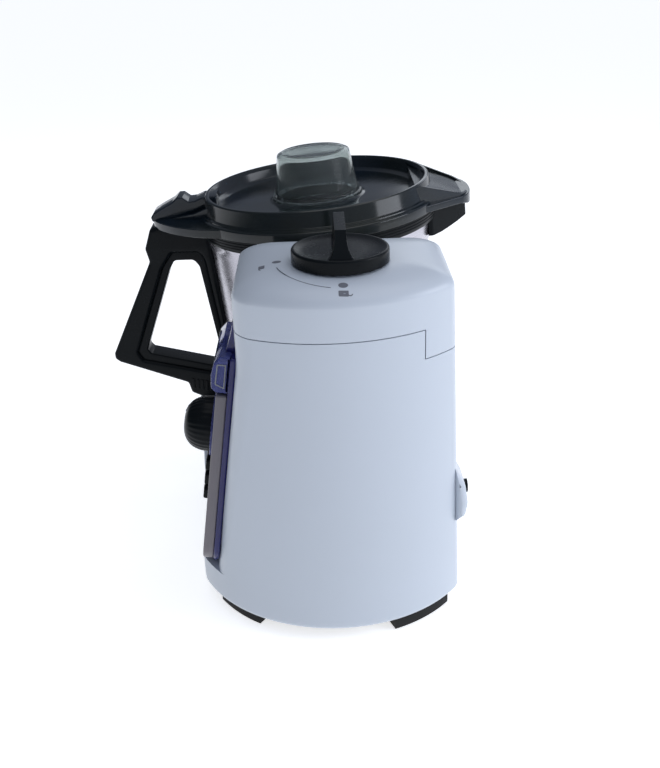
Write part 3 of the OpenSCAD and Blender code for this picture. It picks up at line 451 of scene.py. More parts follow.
tower = {
    "middle": (131, 5),         # of the round side
    "rounds": (14, 26, 14),     # far corners, near front, near rear
    "frontTop": -63, "frontLow": -91.5, "frontBase": -106,
    "brow": 225, "ledge": 38,
    "rearTop": 93, "rearBase": 103,
    "lowEdge": 4,               # how far the lower edge is drawn in
    "wall": 3,
    "tabStart": 71,
    "domeStart": 276, "domeReach": 38.8,
}
shellLow, shellHigh = boxOf("tower_shell")
coverLow, coverHigh = boxOf("top_cover")
nearRadius = shellHigh.x - tower["middle"][0]
farX = shellLow.x
frontSlope = (tower["frontTop"] - tower["frontLow"]) / (tower["brow"] - tower["ledge"])
rearSlope = (tower["rearBase"] - tower["rearTop"]) / (coverHigh.z - shellLow.z)


def frontAt(z, bend=9):  # front face, with a soft bend under the brow
    below = tower["brow"] - z
    if below <= -bend:
        return tower["frontTop"]
    if below >= bend:
        return tower["frontTop"] - frontSlope * below
    return tower["frontTop"] - frontSlope * (below + bend) ** 2 / (4 * bend)


def rearAt(z):
    return tower["rearBase"] - rearSlope * (z - shellLow.z)


def towerRing(z, front, rear, inset, split, rounds, cornerEnd=None):
    cx, cy = tower["middle"]
    farR, frontR, rearR = rounds
    r = nearRadius - inset
    yf, yr = front + inset + frontR, rear - inset - rearR
    split = min(split, yr - 4)
    x = farX + inset + farR
    af = math.degrees(math.asin((yf - cy) / (r - frontR)))
    ar = math.degrees(math.asin((yr - cy) / (r - rearR)))
    turn = math.degrees(math.asin((split - cy) / r))
    nearFront = cx + (r - frontR) * math.cos(math.radians(af))
    nearRear = cx + (r - rearR) * math.cos(math.radians(ar))
    ring = arcOf(x, front + inset + farR, farR, 180, 270, 8)
    if cornerEnd is None:
        ring += arcOf(nearFront, yf, frontR, 270, 360 + af, 18)
    else:
        ring += arcOf(nearFront, yf, frontR, 270, 360 + af, 14) + arcOf(cx, cy, r, af, cornerEnd, 4, 1)
    ring += arcOf(cx, cy, r, cornerEnd or af, turn, 30, 1)
    nearSplit = len(ring) - 1
    ring += arcOf(cx, cy, r, turn, ar, 6, 1) + arcOf(nearRear, yr, rearR, ar, 90, 8, 1)
    ring += arcOf(x, rear - inset - farR, farR, 90, 180, 8)
    ring.append((farX + inset, split))
    return [(px, py, z) for px, py in ring], nearSplit


def steppedCasing(outer, inner, nearSplit, stepped, tabWall, capped):
    # stepped: gaps between levels where only the tab, or only the rest, has a wall
    count, high = len(outer[0]), len(outer)
    points = [p for ring in outer + inner for p in ring]
    faces = []

    def walled(j, i):
        if not 0 <= j < high - 1:
            return False
        return j not in stepped or (nearSplit <= i % count < count - 1) == tabWall

    def corner(side, j, i):
        return (side * high + j) * count + i % count

    for i in range(count):
        for j in range(high - 1):
            if walled(j, i):
                for side in (0, 1):
                    faces.append((corner(side, j, i), corner(side, j, i + 1),
                                  corner(side, j + 1, i + 1), corner(side, j + 1, i)))
            if walled(j, i) != walled(j, i - 1):
                faces.append((corner(0, j, i), corner(0, j + 1, i), corner(1, j + 1, i), corner(1, j, i)))
        for j in range(high):
            if walled(j, i) != walled(j - 1, i) and not (capped and j == high - 1):
                faces.append((corner(0, j, i), corner(0, j, i + 1), corner(1, j, i + 1), corner(1, j, i)))
    if capped:
        for side in (0, 1):
            faces.append(tuple(corner(side, high - 1, i) for i in range(count)))
    return points, faces


def buildTowerShell():
    rounds = tower["rounds"]
    split = tower["tabStart"] - 0.5
    ledge, base = tower["ledge"], tower["frontBase"]
    lowZ, topZ = shellLow.z, shellHigh.z
    yf = frontAt(ledge) + rounds[1]
    cornerEnd = math.degrees(math.asin((yf - tower["middle"][1]) / (nearRadius - rounds[1])))
    levels = []
    levels = [(lowZ + 5 * (1 - math.cos(math.radians(18 * i))),
               base, tower["lowEdge"] * (1 - math.sin(math.radians(18 * i))), True) for i in range(6)]
    levels += [(z, base, 0, True) for z in (24, 30, ledge - 1.4)]
    for i in range(1, 5):   # rolled edge of the ledge
        a = math.radians(22.5 * i)
        levels.append((ledge - 1.4 + 1.4 * math.sin(a), base + 1.4 * (1 - math.cos(a)), 0, True))
    for i in range(1, 5):   # hollow corner where the face leaves the ledge
        a = math.radians(22.5 * i)
        z = ledge + 1.4 * (1 - math.cos(a))
        levels.append((z, frontAt(z) - 1.4 * (1 - math.sin(a)), 0, False))
    levels += [(z, frontAt(z), 0, False) for z in (48, 70, 100, 130, 160, 190, 205, 214)]
    levels += [(216 + 2 * i, frontAt(216 + 2 * i), 0, False) for i in range(7)]
    tabZ = coverLow.z - 0.5
    levels = [lv for lv in levels if lv[0] < tabZ - 0.2]
    firstTab = len(levels)
    levels += [(z, frontAt(z), 0, False) for z in (tabZ, 236, 244, topZ)]
    wall = tower["wall"]
    outer, inner = [], []
    for z, front, inset, atBase in levels:
        ring, nearSplit = towerRing(z, front, rearAt(z), inset, split, rounds,
                                    cornerEnd if atBase else None)
        outer.append(ring)
        ring, nearSplit = towerRing(z, front, rearAt(z), inset + wall, split, rounds,
                                    cornerEnd if atBase else None)
        inner.append(ring)
    points, faces = steppedCasing(outer, inner, nearSplit, range(firstTab, len(levels) - 1), False, False)
    piece = newPiece("tower_casing", points, faces, "white_shell", "housing")
    softenEdges(piece, 0.45, 2, 50)
    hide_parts("tower_shell")


def domeZ(inset):  # height of the cover above a point that far inside its edge
    u = 1 - min(inset, tower["domeReach"]) / tower["domeReach"]
    start = tower["domeStart"]
    return start + (coverHigh.z - start) * math.sqrt(1 - u * u)


def buildCover():
    split = tower["tabStart"]
    flat = [(z, 0) for z in (coverLow.z, 238, 246, coverHigh.z - 39.5, 260, 268, tower["domeStart"])]
    steps = 18
    dome = [tower["domeReach"] * (1 - math.cos(math.radians(90 * i / steps))) for i in range(1, steps + 1)]
    levels = flat + [(domeZ(inset), inset) for inset in dome]
    wall = tower["wall"]
    outer, inner = [], []
    for z, inset in levels:
        front, rear = frontAt(z), rearAt(min(z, tower["domeStart"]))
        ring, nearSplit = towerRing(z, front, rear, inset, split, tower["rounds"])
        outer.append(ring)
        drop = wall * smooth((z - tower["domeStart"]) / (coverHigh.z - tower["domeStart"]))
        inner.append([(x, y, z - drop) for x, y, z in
                      towerRing(z, front, rear, inset + wall, split, tower["rounds"])[0]])
    for rings in (outer, inner):
        last = rings[-1]
        cx, cy = (sum(p[k] for p in last) / len(last) for k in (0, 1))
        for shrink in (0.8, 0.6, 0.4, 0.2):
            rings.append([(mixed(cx, x, shrink), mixed(cy, y, shrink), z) for x, y, z in last])
    points, faces = steppedCasing(outer, inner, nearSplit, range(3), True, True)
    piece = newPiece("cover_casing", points, faces, "white_shell", "housing")
    softenEdges(piece, 0.45, 2, 50)
    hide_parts("top_cover")
    return piece


# ---- printed marks on the cover ----

marks = {
    "radius": 46,            # of the arc round the knob
    "lift": 0.12,            # above the cover's skin
    "dots": ((237, 14.5), (191, -31.5)),
    "dot": (2.7, 3.3),
    "nearSign": (244.5, 14.5),
    "frontSign": (198, -42),
}


def coverSkin(x, y):  # height of the cover's skin above a point
    cx, cy = tower["middle"]
    z = 290.8
    for _ in range(6):
        front, rear = frontAt(z), rearAt(min(z, tower["domeStart"]))
        inset = min(nearRadius - math.hypot(x - cx, y - cy), y - front, rear - y, x - farX)
        z = domeZ(max(inset, 0))
    return z


def printShapes(name, shapes):
    points, faces = [], []
    for shape in shapes:
        for lift in (0.02, marks["lift"]):
            points += [(x, y, coverSkin(x, y) + lift) for x, y in shape]
        count, first = len(shape), len(points) - 2 * len(shape)
        faces.append(tuple(first + count + i for i in range(count)))
        faces.append(tuple(first + i for i in reversed(range(count))))
        for i in range(count):
            k = (i + 1) % count
            faces.append((first + i, first + k, first + count + k, first + count + i))
    piece = newPiece(name, points, faces, "printed_grey", "housing")
    evenShading(piece)


def buildMarks(knobX, knobY):
    shapes = []
    dx, dy = marks["dot"]
    for cx, cy in marks["dots"]:
        shapes.append([(cx + dx * x, cy + dy * y) for x, y in arcOf(0, 0, 1, 0, 345, 23)])
    printShapes("cover_dots", shapes)
    shapes = []
    for i in range(24):   # thin arc from the front dot to the near dot
        a, b = (math.radians(-78 + 68 * k / 24) for k in (i, i + 1))
        inner, outer = marks["radius"] - 0.28, marks["radius"] + 0.28
        shapes.append([(knobX + r * math.cos(t), knobY + r * math.sin(t))
                       for r, t in ((inner, a), (outer, a), (outer, b), (inner, b))])
    printShapes("cover_arc", shapes)
    shapes = []
    for (cx, cy), along in ((marks["nearSign"], True), (marks["frontSign"], False)):
        body = rounded([(-2.2, -3.4, 0.5), (2.2, -3.4, 0.5), (2.2, 3.4, 0.5), (-2.2, 3.4, 0.5)], 3)
        bow = arcOf(0, 3.2, 1.9, -80, 80, 10) + arcOf(0, 3.2, 1.2, 80, -80, 10)
        for shape in (body, [(x, y + 1.2) for x, y in bow]):
            if not along:
                shape = [(y, -x) for x, y in shape]
            shapes.append([(cx + x, cy + y) for x, y in shape])
    printShapes("cover_signs", shapes)


# ---- lock knob ----

knob = {
    "thick": 11,
    "fin": 17,              # height of the fin above the disc
    "finHalf": 4.4,
    "finEnds": (-31.5, 33.4),
    "finTop": (-26, 21),
    "flare": (2.2, 8.6),    # extra width of the fin's root, at the middle and at the near end
}


def buildKnob():
    low, high = boxOf("lock_knob")
    cx, cy, base = (low.x + high.x) / 2, (low.y + high.y) / 2, low.z
    r = (high.x - low.x) / 2
    top = knob["thick"]
    profile = [(0, 0), (r - 0.5, 0), (r, 0.5), (r, 8.2)]
    profile += [(r - 1.5 * (1 - math.cos(math.radians(a))), 8.2 + 1.9 * math.sin(math.radians(a)))
                for a in (22, 45, 68, 90)]
    profile += [(r - 2.6, 9.9), (r - 4.5, 9.2), (r - 9, 8.5), (18, 8.2), (0, 8.1)]
    points, faces = spun(profile, 160, False)
    disc = newPiece("knob_disc", [(cx + x, cy + y, base + z) for x, y, z in points], faces,
                    "black_plastic", "lock_turner")
    evenShading(disc, 40)
    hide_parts("lock_knob")

    half, tall = knob["finHalf"], top + knob["fin"]
    start, end = knob["finEnds"]
    topStart, topEnd = knob["finTop"]
    stations = [start] + [mixed(start, topStart, t) for t in (0.3, 0.6, 0.85)]
    stations += [mixed(topStart, topEnd, i / 14) for i in range(15)]
    stations += [mixed(topEnd, end, i / 10) for i in range(1, 11)]
    rings = []
    for x in stations:
        if x < topStart:
            peak = mixed(top - 0.4, tall, math.sin(math.radians(90 * (x - start) / (topStart - start))))
        elif x > topEnd:
            peak = mixed(tall, 7.4, ((x - topEnd) / (end - topEnd)) ** 0.92)
        else:
            peak = tall
        peak = max(peak, 6.4)
        flare = mixed(*knob["flare"], smooth((x - 2) / 30) ** 1.3)
        side = []
        for k in range(11):
            z = mixed(6.0, tall, (k / 10) ** 1.25)
            wide = half + flare * (1 - k / 10) ** 2.4 - 0.5 * k / 10
            side.append((wide, min(z, peak)))
        ring = [(x, w, z) for w, z in side] + [(x, -w, z) for w, z in reversed(side)]
        rings.append(ring)
    points, faces = loftBetween(rings)
    fin = newPiece("knob_fin", [(x + cx, y + cy, z + base) for x, y, z in points], faces,
                   "black_plastic", "lock_turner")
    softenEdges(fin, 0.55, 3, 38)
    return cx, cy


# ---- lid with its ears, measuring cup and collar ----

lid = {
    "seat": 281, "tilt": 4,
    "feed": 34.2,
}


def onLid(x, y, z):
    c, s = math.cos(math.radians(lid["tilt"])), math.sin(math.radians(lid["tilt"]))
    return x, y * c - z * s, lid["seat"] + y * s + z * c


def turned(name, corners, finish, body, steps=160, angle=35, lay=onLid):
    points, faces = spun(rounded(corners, 4), steps)
    piece = newPiece(name, [lay(*p) for p in points], faces, finish, body)
    evenShading(piece, angle)
    return piece


def platePart(name, outline, lowAt, highAt, finish, body, edge):
    # a plate seen from above; its under and upper sides follow functions of y
    rings = [[(x, y, mixed(lowAt(y), highAt(y), t)) for x, y in outline] for t in (0, 0.5, 1)]
    points, faces = loftBetween(rings)
    piece = newPiece(name, [onLid(*p) for p in points], faces, finish, body)
    softenEdges(piece, edge, 3, 30)
    return piece


def between(table, y):  # straight lines through a table of (y, z)
    for (y0, z0), (y1, z1) in zip(table, table[1:]):
        if y <= y1:
            return mixed(z0, z1, (max(y, y0) - y0) / (y1 - y0))
    return table[-1][1]


def curved(path, steps):  # a smooth open path through a few points
    out = []
    for i in range(len(path) - 1):
        p0, p1, p2 = Vector(path[max(i - 1, 0)]), Vector(path[i]), Vector(path[i + 1])
        p3 = Vector(path[min(i + 2, len(path) - 1)])
        for k in range(steps):
            t = k / steps
            out.append(tuple(0.5 * (2 * p1 + (p2 - p0) * t + (2 * p0 - 5 * p1 + 4 * p2 - p3) * t * t
                                    + (3 * p1 - p0 - 3 * p2 + p3) * t ** 3)))
    return out + [tuple(path[-1])]


def buildLid():
    f = lid["feed"]
    body = turned("lid_dish", [
        (f, 0, 0.4), (f + 4, 0, 0.6), (f + 4, 7, 0.8), (91.9, 7, 0.8), (91.9, -12, 0.4), (94.4, -12, 0.4),
        (94.4, 5, 0.6), (98.5, 5, 0.3), (98.5, 0, 0.3), (101, 0, 0.3), (101, 4.4, 0.3), (104.4, 4.4, 0.3),
        (104.4, -2, 0.3), (106, -2, 0.5), (106, 6.2, 1.5), (103, 7.0, 0.3), (102.7, 8.2, 0.5),
        (100.6, 8.6, 0.9), (98.4, 21.2, 0.7), (97.3, 22, 0.5), (95.2, 22, 0.8), (93.6, 19, 1.5),
        (91, 11.6, 2), (86, 9.6, 2), (f + 8, 9.5, 0.8), (f + 6, 10.5, 0.4), (f, 10.5, 0.4)],
        "smoky_lid", "lid_group", 192)
    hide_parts("lid")
    # front ear: a plate that runs into the flange, and the latch that stands on it
    half = [(0, -147.3), (10, -145.8), (19, -141.8), (29, -135), (40.5, -125), (50, -114), (58.5, -101.5),
            (66.5, -84), (66.5, -78)]
    plate = [(-x, y) for x, y in half[:0:-1]] + half
    platePart("lid_front_plate", curved(plate, 4), lambda y: -1.8, lambda y: 5.6,
              "smoky_lid", "lid_group", 1.6)
    outline = [(-88, 4, 0), (-146.5, 4, 1), (-147.6, 7.8, 2), (-145, 11.2, 2), (-139, 14.2, 3),
               (-127, 19.4, 3), (-122, 23.2, 2.2), (-117.5, 23.0, 2.2), (-112.5, 18.6, 2.5),
               (-107, 18.8, 3), (-100, 21.2, 1), (-88, 21.2, 0)]
    latch = slabOf("lid_latch", [rounded(outline, 4)], 25, 1.1, "smoky_lid", "lid_group",
                   lambda a, b, c: onLid(c, a, b))
    evenShading(latch, 30)
    for side in (-1, 1):   # webs that run from the dish to the latch
        web = [(-90, 4.5, 0), (-132, 4.5, 0.6), (-124, 7.5, 2), (-108, 10.5, 3), (-90, 17.5, 0)]
        piece = slabOf("lid_web_" + ("far" if side < 0 else "near"), [rounded(web, 4)], 2.4, 0.6,
                       "smoky_lid", "lid_group",
                       lambda a, b, c: onLid(side * mixed(30, 12, (-92 - a) / 45) + c, a, b))
        evenShading(piece, 30)
    # rear ear over the spout: a plate and, on it, a sloping shield with a raised edge
    half = [(0, 133.8), (13, 133), (25, 130.2), (33, 125.4), (37.5, 119), (56, 90), (62, 80)]
    plate = half[::-1] + [(-x, y) for x, y in half[1:]]
    platePart("lid_rear_plate", curved(plate, 4), lambda y: between(((84, -1.6), (124, -1.6), (131, -5)), y),
              lambda y: 4.4, "smoky_lid", "lid_group", 0.9)
    half = [(0, 132), (13, 131.2), (24, 128.4), (31.5, 123.6), (35.5, 117.6), (51.5, 87), (53, 83)]
    shield = curved(half[::-1] + [(-x, y) for x, y in half[1:]], 4)
    slope = ((80, 20.4), (88, 20.2), (104, 14), (118, 8.6), (128, 5.0), (133, 3.2))
    inner = [(x * 0.955, 84 + (y - 84) * 0.955) for x, y in shield]
    rings = [[(x, y, 1.5) for x, y in shield], [(x, y, between(slope, y)) for x, y in shield],
             [(x, y, between(slope, y) - 0.2) for x, y in inner],
             [(x, y, between(slope, y) - 1.8) for x, y in inner]]
    points, faces = loftBetween(rings)
    piece = newPiece("lid_rear_shield", [onLid(*q) for q in points], faces, "smoky_lid", "lid_group")
    softenEdges(piece, 0.3, 2, 30)
    lug = rounded([(-8.5, 0, 1), (13.5, 0, 1), (13.5, 22, 2), (-8.5, 22, 2)], 3)
    hole = [(-3.5, 3), (8.5, 3), (8.5, 13), (-3.5, 13)]
    piece = slabOf("lid_lug", [lug, hole], 6.4, 0.5, "smoky_lid", "lid_group",
                   lambda a, b, c: (108.8 + c, a - 0.4, 259.2 + b))
    evenShading(piece, 30)


def buildCup():
    f = lid["feed"] - 0.4
    cup = turned("cup_shell", [
        (f, 1, 0.5), (f, 10.5, 0.3), (39.7, 10.5, 0.5), (39.7, 12.4, 0.6), (37.6, 12.9, 0.4),
        (36.6, 15.2, 0.8), (34.6, 27, 20), (31.7, 48.4, 2.8), (27.5, 50, 1),
        (24, 49.6, 3), (4, 49.2, 2), (0.02, 49.2, 0), (0.02, 47.6, 0), (27, 47.8, 1.2),
        (30.1, 46.6, 2.2), (33.0, 27, 20), (34.9, 15, 1.5), (33.2, 13.6, 0.6),
        (f - 2, 12.6, 0.4), (f - 2, 1, 0.5)], "clear_cup", "cup", 160, 30)
    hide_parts("measuring_cup")
    for i, (turn, r) in enumerate(((-3, 37.2), (-93, 37.2), (87, 37.2), (177, 37.2))):
        a = math.radians(turn)
        tick = [(-0.45, 0, 0.1), (0.45, 0, 0.1), (0.45, 6.6, 0.4), (-0.45, 6.6, 0.4)]
        def lay(u, v, w, a=a, r=r):
            return onLid((r + w) * math.cos(a) - u * math.sin(a),
                         (r + w) * math.sin(a) + u * math.cos(a), 11.6 + v)
        slabOf("cup_tick_%d" % (i + 1), [rounded(tick, 2)], 0.9, 0.2, "clear_cup", "cup", lay)


def buildCollar():
    ring = turned("collar_ring", [
        (96, -0.6, 0.4), (96, -13, 0.4), (101.4, -13.6, 0.5), (102.8, -13, 0.8), (103.5, -11, 1),
        (103.8, -9.6, 0.2), (103.3, -9.3, 0.15), (103.3, -8.9, 0.15), (103.9, -8.6, 0.2),
        (103.9, -7.2, 0.2), (103.4, -6.9, 0.15), (103.4, -6.5, 0.15), (104, -6.2, 0.2),
        (104, -4.8, 0.2), (103.5, -4.5, 0.15), (103.5, -4.1, 0.15), (104, -3.8, 0.2), (104, -2.7, 0.2),
        (103.6, -2.5, 0.2), (103.6, -0.4, 0.3)],
        "black_plastic", "jug", 160)
    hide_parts("jug_collar")
    under = ((90, -28.4), (101, -28.4), (108, -27), (120, -23.4), (130, -19.4))
    spout = rounded([(-33, 93, 0), (-33, 97, 3), (-7, 129.4, 4), (7, 129.4, 4), (33, 97, 3), (33, 93, 0)], 5)
    dense = []
    for i, (x, y) in enumerate(spout):
        nx, ny = spout[(i + 1) % len(spout)]
        dense += [(mixed(x, nx, k / 4), mixed(y, ny, k / 4)) for k in range(4)]
    hollow = [(x * 0.86, 93 + (y - 93) * 0.9) for x, y in dense]
    rings = [[(x, y, between(under, y)) for x, y in dense],
             [(x, y, between(under, y) * 0.5) for x, y in dense],
             [(x, y, -0.5) for x, y in dense], [(x, y, -0.5) for x, y in hollow],
             [(x, y, -7) for x, y in hollow], [(x, y, -13) for x, y in hollow]]
    points, faces = loftBetween(rings)
    piece = newPiece("collar_spout", [onLid(*q) for q in points], faces, "black_plastic", "jug")
    softenEdges(piece, 0.7, 3, 32)
    block = rounded([(-95, -2.4, 0), (-95, -27, 0), (-111.6, -27, 2), (-111.6, -2.4, 2)], 4)
    piece = slabOf("collar_block", [block], 26, 1, "black_plastic", "jug", lambda a, b, c: onLid(c, a, b))
    evenShading(piece, 30)


# ---- jug and its handle ----

def buildHandle():
    top = 272
    outer = rounded([(-101, top - 2.4, 0), (-144, top - 1.5, 3), (-150, top - 4, 4),
                     (-156, 250, 5), (-153.2, 238, 5), (-195, 150.5, 3), (-194.8, 145.5, 4),
                     (-190.5, 142, 4), (-129, 118.4, 3), (-126.4, 108.2, 4),
                     (-103, 97, 2), (-81.5, 96, 0), (-82.6, 122, 0), (-89.3, 190, 0), (-94.5, 236, 0),
                     (-97, 252, 0), (-98.4, 262, 0)], 6)
    window = [(-131, 238.4, 4), (-136, 230, 5), (-164, 153.2, 4), (-160.5, 149, 3), (-99, 133.6, 3),
              (-97, 137, 3), (-97.6, 160, 9), (-109, 232, 8), (-113.5, 238.4, 6)]
    grown = [(-132, 246, 4), (-142, 232, 6), (-172.6, 151.5, 4), (-168, 143.6, 3), (-93, 126.2, 3),
             (-91.4, 134, 3), (-92.2, 160, 9), (-103.6, 238, 8), (-108, 246, 6)]
    side = lambda a, b, c: (c, a, b)
    grip = slabOf("handle_grip", [outer, rounded(grown, 6)], 28, 3.4, "black_plastic", "jug", side)
    evenShading(grip, 30)
    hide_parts("jug_handle")
    wide = [(a + (a + 132) * 0.012, b + (b - 190) * 0.012, r) for a, b, r in grown]
    inner = slabOf("handle_lining", [rounded(wide, 6), rounded(window, 6)], 22.5, 1.2,
                   "black_plastic", "jug", side)
    evenShading(inner, 30)
    ribs = 7
    for i in range(ribs):   # ribs of the release block under the lower arm
        y = -125 + i * 4.1
        drop = i * 0.9
        rib = rounded([(y, 113.5 - drop, 0.6), (y + 2.6, 112.9 - drop, 0.6),
                       (y + 2.6, 123.2 - drop, 0.6), (y, 123.8 - drop, 0.6)], 3)
        piece = slabOf("handle_rib_%d" % (i + 1), [rib], 29.4, 0.5, "black_plastic", "jug", side)
        evenShading(piece, 30)


def buildVessel():
    wall = 1.5
    outer = [(0.02, 76), (60, 76), (66, 76.8), (71, 79.5), (75.5, 85), (78.5, 91.5), (80, 98)]
    outer += [(mixed(80, 97, t / 12), mixed(98, 248, t / 12)) for t in range(1, 12)]
    outer += [(97, 248), (98.3, 254), (99.2, 260), (99.5, 266), (99.5, 275.5)]
    inner = [(max(r - wall, 0.02), z + (wall if z < 80 else 0)) for r, z in outer]
    points, faces = spun(outer + inner[::-1], 160)
    vessel = newPiece("steel_jug", points, faces, "jug_steel", "jug")
    evenShading(vessel, 40)
    # the steel ends under the sloping lid
    for v in vessel.data.vertices:
        if v.co.z > 260 * mm:
            v.co.z += v.co.y * math.tan(math.radians(lid["tilt"]))
    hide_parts("jug_vessel")


# ---- control panel on the sloping front ----

panel = {
    "middle": 167,          # along X
    "dialZ": 150, "topZ": 192,
    "half": 39,
    "frame": 5, "fascia": 8.5,
    "corner": 22,
    "keyDrop": 44, "keyStep": 13,
    "neckHalf": 26,
}
tilt = math.atan(abs(frontSlope))


def onPanel(x, up, out):  # across, up the slope, out of the face
    z = panel["dialZ"]
    y = tower["frontTop"] - frontSlope * (tower["brow"] - z)
    return (panel["middle"] + x, y + up * math.sin(tilt) - out * math.cos(tilt),
            z + up * math.cos(tilt) + out * math.sin(tilt))


def buildPanel():
    c = math.cos(tilt)
    up = (panel["topZ"] - panel["dialZ"]) / c
    down = (panel["dialZ"] - tower["ledge"]) / c - 1.5
    reach = (tower["brow"] - panel["topZ"]) / c
    half, corner, thick = panel["half"], panel["corner"], panel["frame"]
    outline = rounded([(-half, up + reach - 2, 2), (-half, -down, corner), (half, -down, corner),
                       (half, up + reach - 2, 2)], 10)
    middle = thick / 2
    frame = slabOf("panel_back", [outline], thick, 1.6, "violet_clear", "housing",
                   lambda a, b, w: onPanel(a, b, middle + w))
    evenShading(frame, 30)
    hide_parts("panel_frame")
    # neck that runs up over the brow
    outer = [(262, 0.6), (254, 1.5), (246, 3.0), (238, 5.0), (231, 7.2), (225.4, 9.2)]
    outer = curved([(z, tower["frontTop"] - out) for z, out in outer], 4)
    neck = [(y, z) for z, y in outer] + [(frontAt(222) - 5, 222.4), (frontAt(222) + 1, 222.4),
                                         (tower["frontTop"] + 1, 226), (tower["frontTop"] + 1, 262)]
    piece = slabOf("panel_neck", [neck], 2 * panel["neckHalf"], 0.5, "violet_clear", "housing",
                   lambda a, b, w: (panel["middle"] + w, a, b))
    evenShading(piece, 30)

    edge = half - 1.5
    plate = rounded([(-edge, up, 1.5), (-edge, -down + 1.5, corner - 1.5), (edge, -down + 1.5, corner - 1.5),
                     (edge, up, 1.5)], 10)
    holes = [arcOf(0, 0, 3.3, 0, 350, 35)]
    for k in (-1, 0, 1):
        y = -panel["keyDrop"] + k * panel["keyStep"]
        holes.append(rounded([(-13.4, y - 5.4, 1), (13.4, y - 5.4, 1),
                              (13.4, y + 5.4, 1), (-13.4, y + 5.4, 1)], 3))
    fasciaAt = thick + panel["fascia"] / 2
    fascia = slabOf("panel_plate", [plate] + holes, panel["fascia"], 1.3, "grey_fascia", "housing",
                    lambda a, b, w: onPanel(a, b, fasciaAt + w))
    evenShading(fascia, 30)
    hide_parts("panel_fascia")

    # see-through display cover, with its bezel showing in the end faces
    side = [(0.6, 0.1, 0.4), (0.6, 9, 2), (4, 12.5, 3), (14, 13.4, 9), (24, 12, 6), (reach - 3, 7.4, 1.5),
            (reach - 3, 0.1, 0.4)]
    low = up + 1
    window = slabOf("display_cover", [rounded(side, 5)], 72, 1.6, "blue_clear", "housing",
                    lambda a, b, w: onPanel(w, low + a, thick + b))
    evenShading(window, 30)
    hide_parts("display_window")
    bezel = [(4.5, 2.6, 0.6), (7.5, 10, 1.2), (24, 9.6, 1.2), (24, 2.6, 0.6)]
    bezelHole = [(5.6, 3.5, 0.3), (8.2, 9.1, 0.7), (23.1, 8.7, 0.7), (23.1, 3.5, 0.3)]
    for end in (-1, 1):
        piece = slabOf("display_bezel_" + ("far" if end < 0 else "near"),
                       [rounded(bezel, 3), rounded(bezelHole, 3)],
                       0.6, 0.1, "grey_rubber", "housing",
                       lambda a, b, w: onPanel(end * 36.05 + w, low + a, thick + b))
        evenShading(piece, 30)
    screen = rounded([(-30, 3, 1), (30, 3, 1), (30, 25, 1), (-30, 25, 1)], 3)
    piece = slabOf("display_screen", [screen], 0.8, 0.2, "dark_glass", "housing",
                   lambda a, b, w: onPanel(a, low + b, thick + 13.0 + w - abs(b - 14) * 0.12))
    evenShading(piece, 30)

    # dial, its clear ring and the marks round it
    seat = thick + panel["fascia"] + 0.6
    r, tall = 22, 24
    profile = [(0.02, 0), (r - 1, 0), (r, 1.2), (r, 5)]
    profile += [(r * math.cos(math.radians(a)) ** 0.72, 5 + (tall - 5) * math.sin(math.radians(a)))
                for a in range(8, 88, 8)] + [(0.02, tall)]
    points, faces = spun(profile, 120, False)
    ribbed = []
    for x, y, z in points:
        rr, turn = math.hypot(x, y), math.atan2(y, x)
        if rr > 14 and z > 2:
            rr -= 0.55 * smooth((rr - 14) / 5) * (0.5 - 0.5 * math.cos(30 * turn)) ** 2
        ribbed.append(onPanel(rr * math.cos(turn), rr * math.sin(turn), seat + z))
    dial = newPiece("dial_knob", ribbed, faces, "black_plastic", "dial")
    evenShading(dial, 40)
    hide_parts("speed_dial")
    pointer = rounded([(-0.8, 9, 0.5), (0.8, 9, 0.5), (0.8, 15, 0.5), (-0.8, 15, 0.5)], 3)
    slabOf("dial_pointer", [pointer], 1.0, 0.2, "grey_fascia", "dial",
           lambda a, b, w: onPanel(a, b, seat + w + 5 + (tall - 5) * math.sqrt(1 - (b / (r + 1.2)) ** 2.6)))
    piece = slabOf("dial_ring", [arcOf(0, 0, 25.4, 0, 354, 59), arcOf(0, 0, 22.6, 0, 354, 59)], 2.6, 0.6,
                   "blue_clear", "housing", lambda a, b, w: onPanel(a, b, thick + panel["fascia"] + 1.0 + w))
    evenShading(piece, 30)
    for i in range(11):
        a = math.radians(235 - 29 * i)
        size = 0.7 + 0.07 * i
        dot = [(29 * math.cos(a) + size * x, 29 * math.sin(a) + size * y)
               for x, y in arcOf(0, 0, 1, 0, 330, 11)]
        slabOf("dial_mark_%d" % (i + 1), [dot], 0.4, 0.1, "grey_rubber", "housing",
               lambda u, v, w: onPanel(u, v, thick + panel["fascia"] + w))

    # the three keys
    for k, (node, body) in zip((1, 0, -1), (("time_key", "time_button"), ("heat_key", "heat_button"),
                                            ("boost_key", "boost_button"))):
        y = -panel["keyDrop"] + k * panel["keyStep"]
        cap = rounded([(-13, y - 5, 2), (13, y - 5, 2), (13, y + 5, 2), (-13, y + 5, 2)], 4)
        piece = slabOf(node + "_cap", [cap], 13.3, 1.5, "black_plastic", body,
                       lambda a, b, w: onPanel(a, b, thick + 6.75 + w - 0.06 * (a * a) / 26))
        evenShading(piece, 30)
        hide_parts(node)
        line = rounded([(-4, y - 0.5, 0.3), (4, y - 0.5, 0.3), (4, y + 0.5, 0.3), (-4, y + 0.5, 0.3)], 2)
        slabOf(node + "_mark", [line], 0.4, 0.1, "grey_rubber", body,
               lambda a, b, w: onPanel(a, b, thick + 13.4 + w - 0.06 * (a * a) / 26))


# ---- bay under the jug, feet and cable hood ----

bay = {
    "low": 12, "top": 98, "floor": 70, "ceiling": 66,
    "footRadius": 110, "radius": 121, "reach": 126,
    "well": (84, 88.2),       # radius of the jug's well at its floor and at the rim
    "hole": 26, "wall": 3,
}


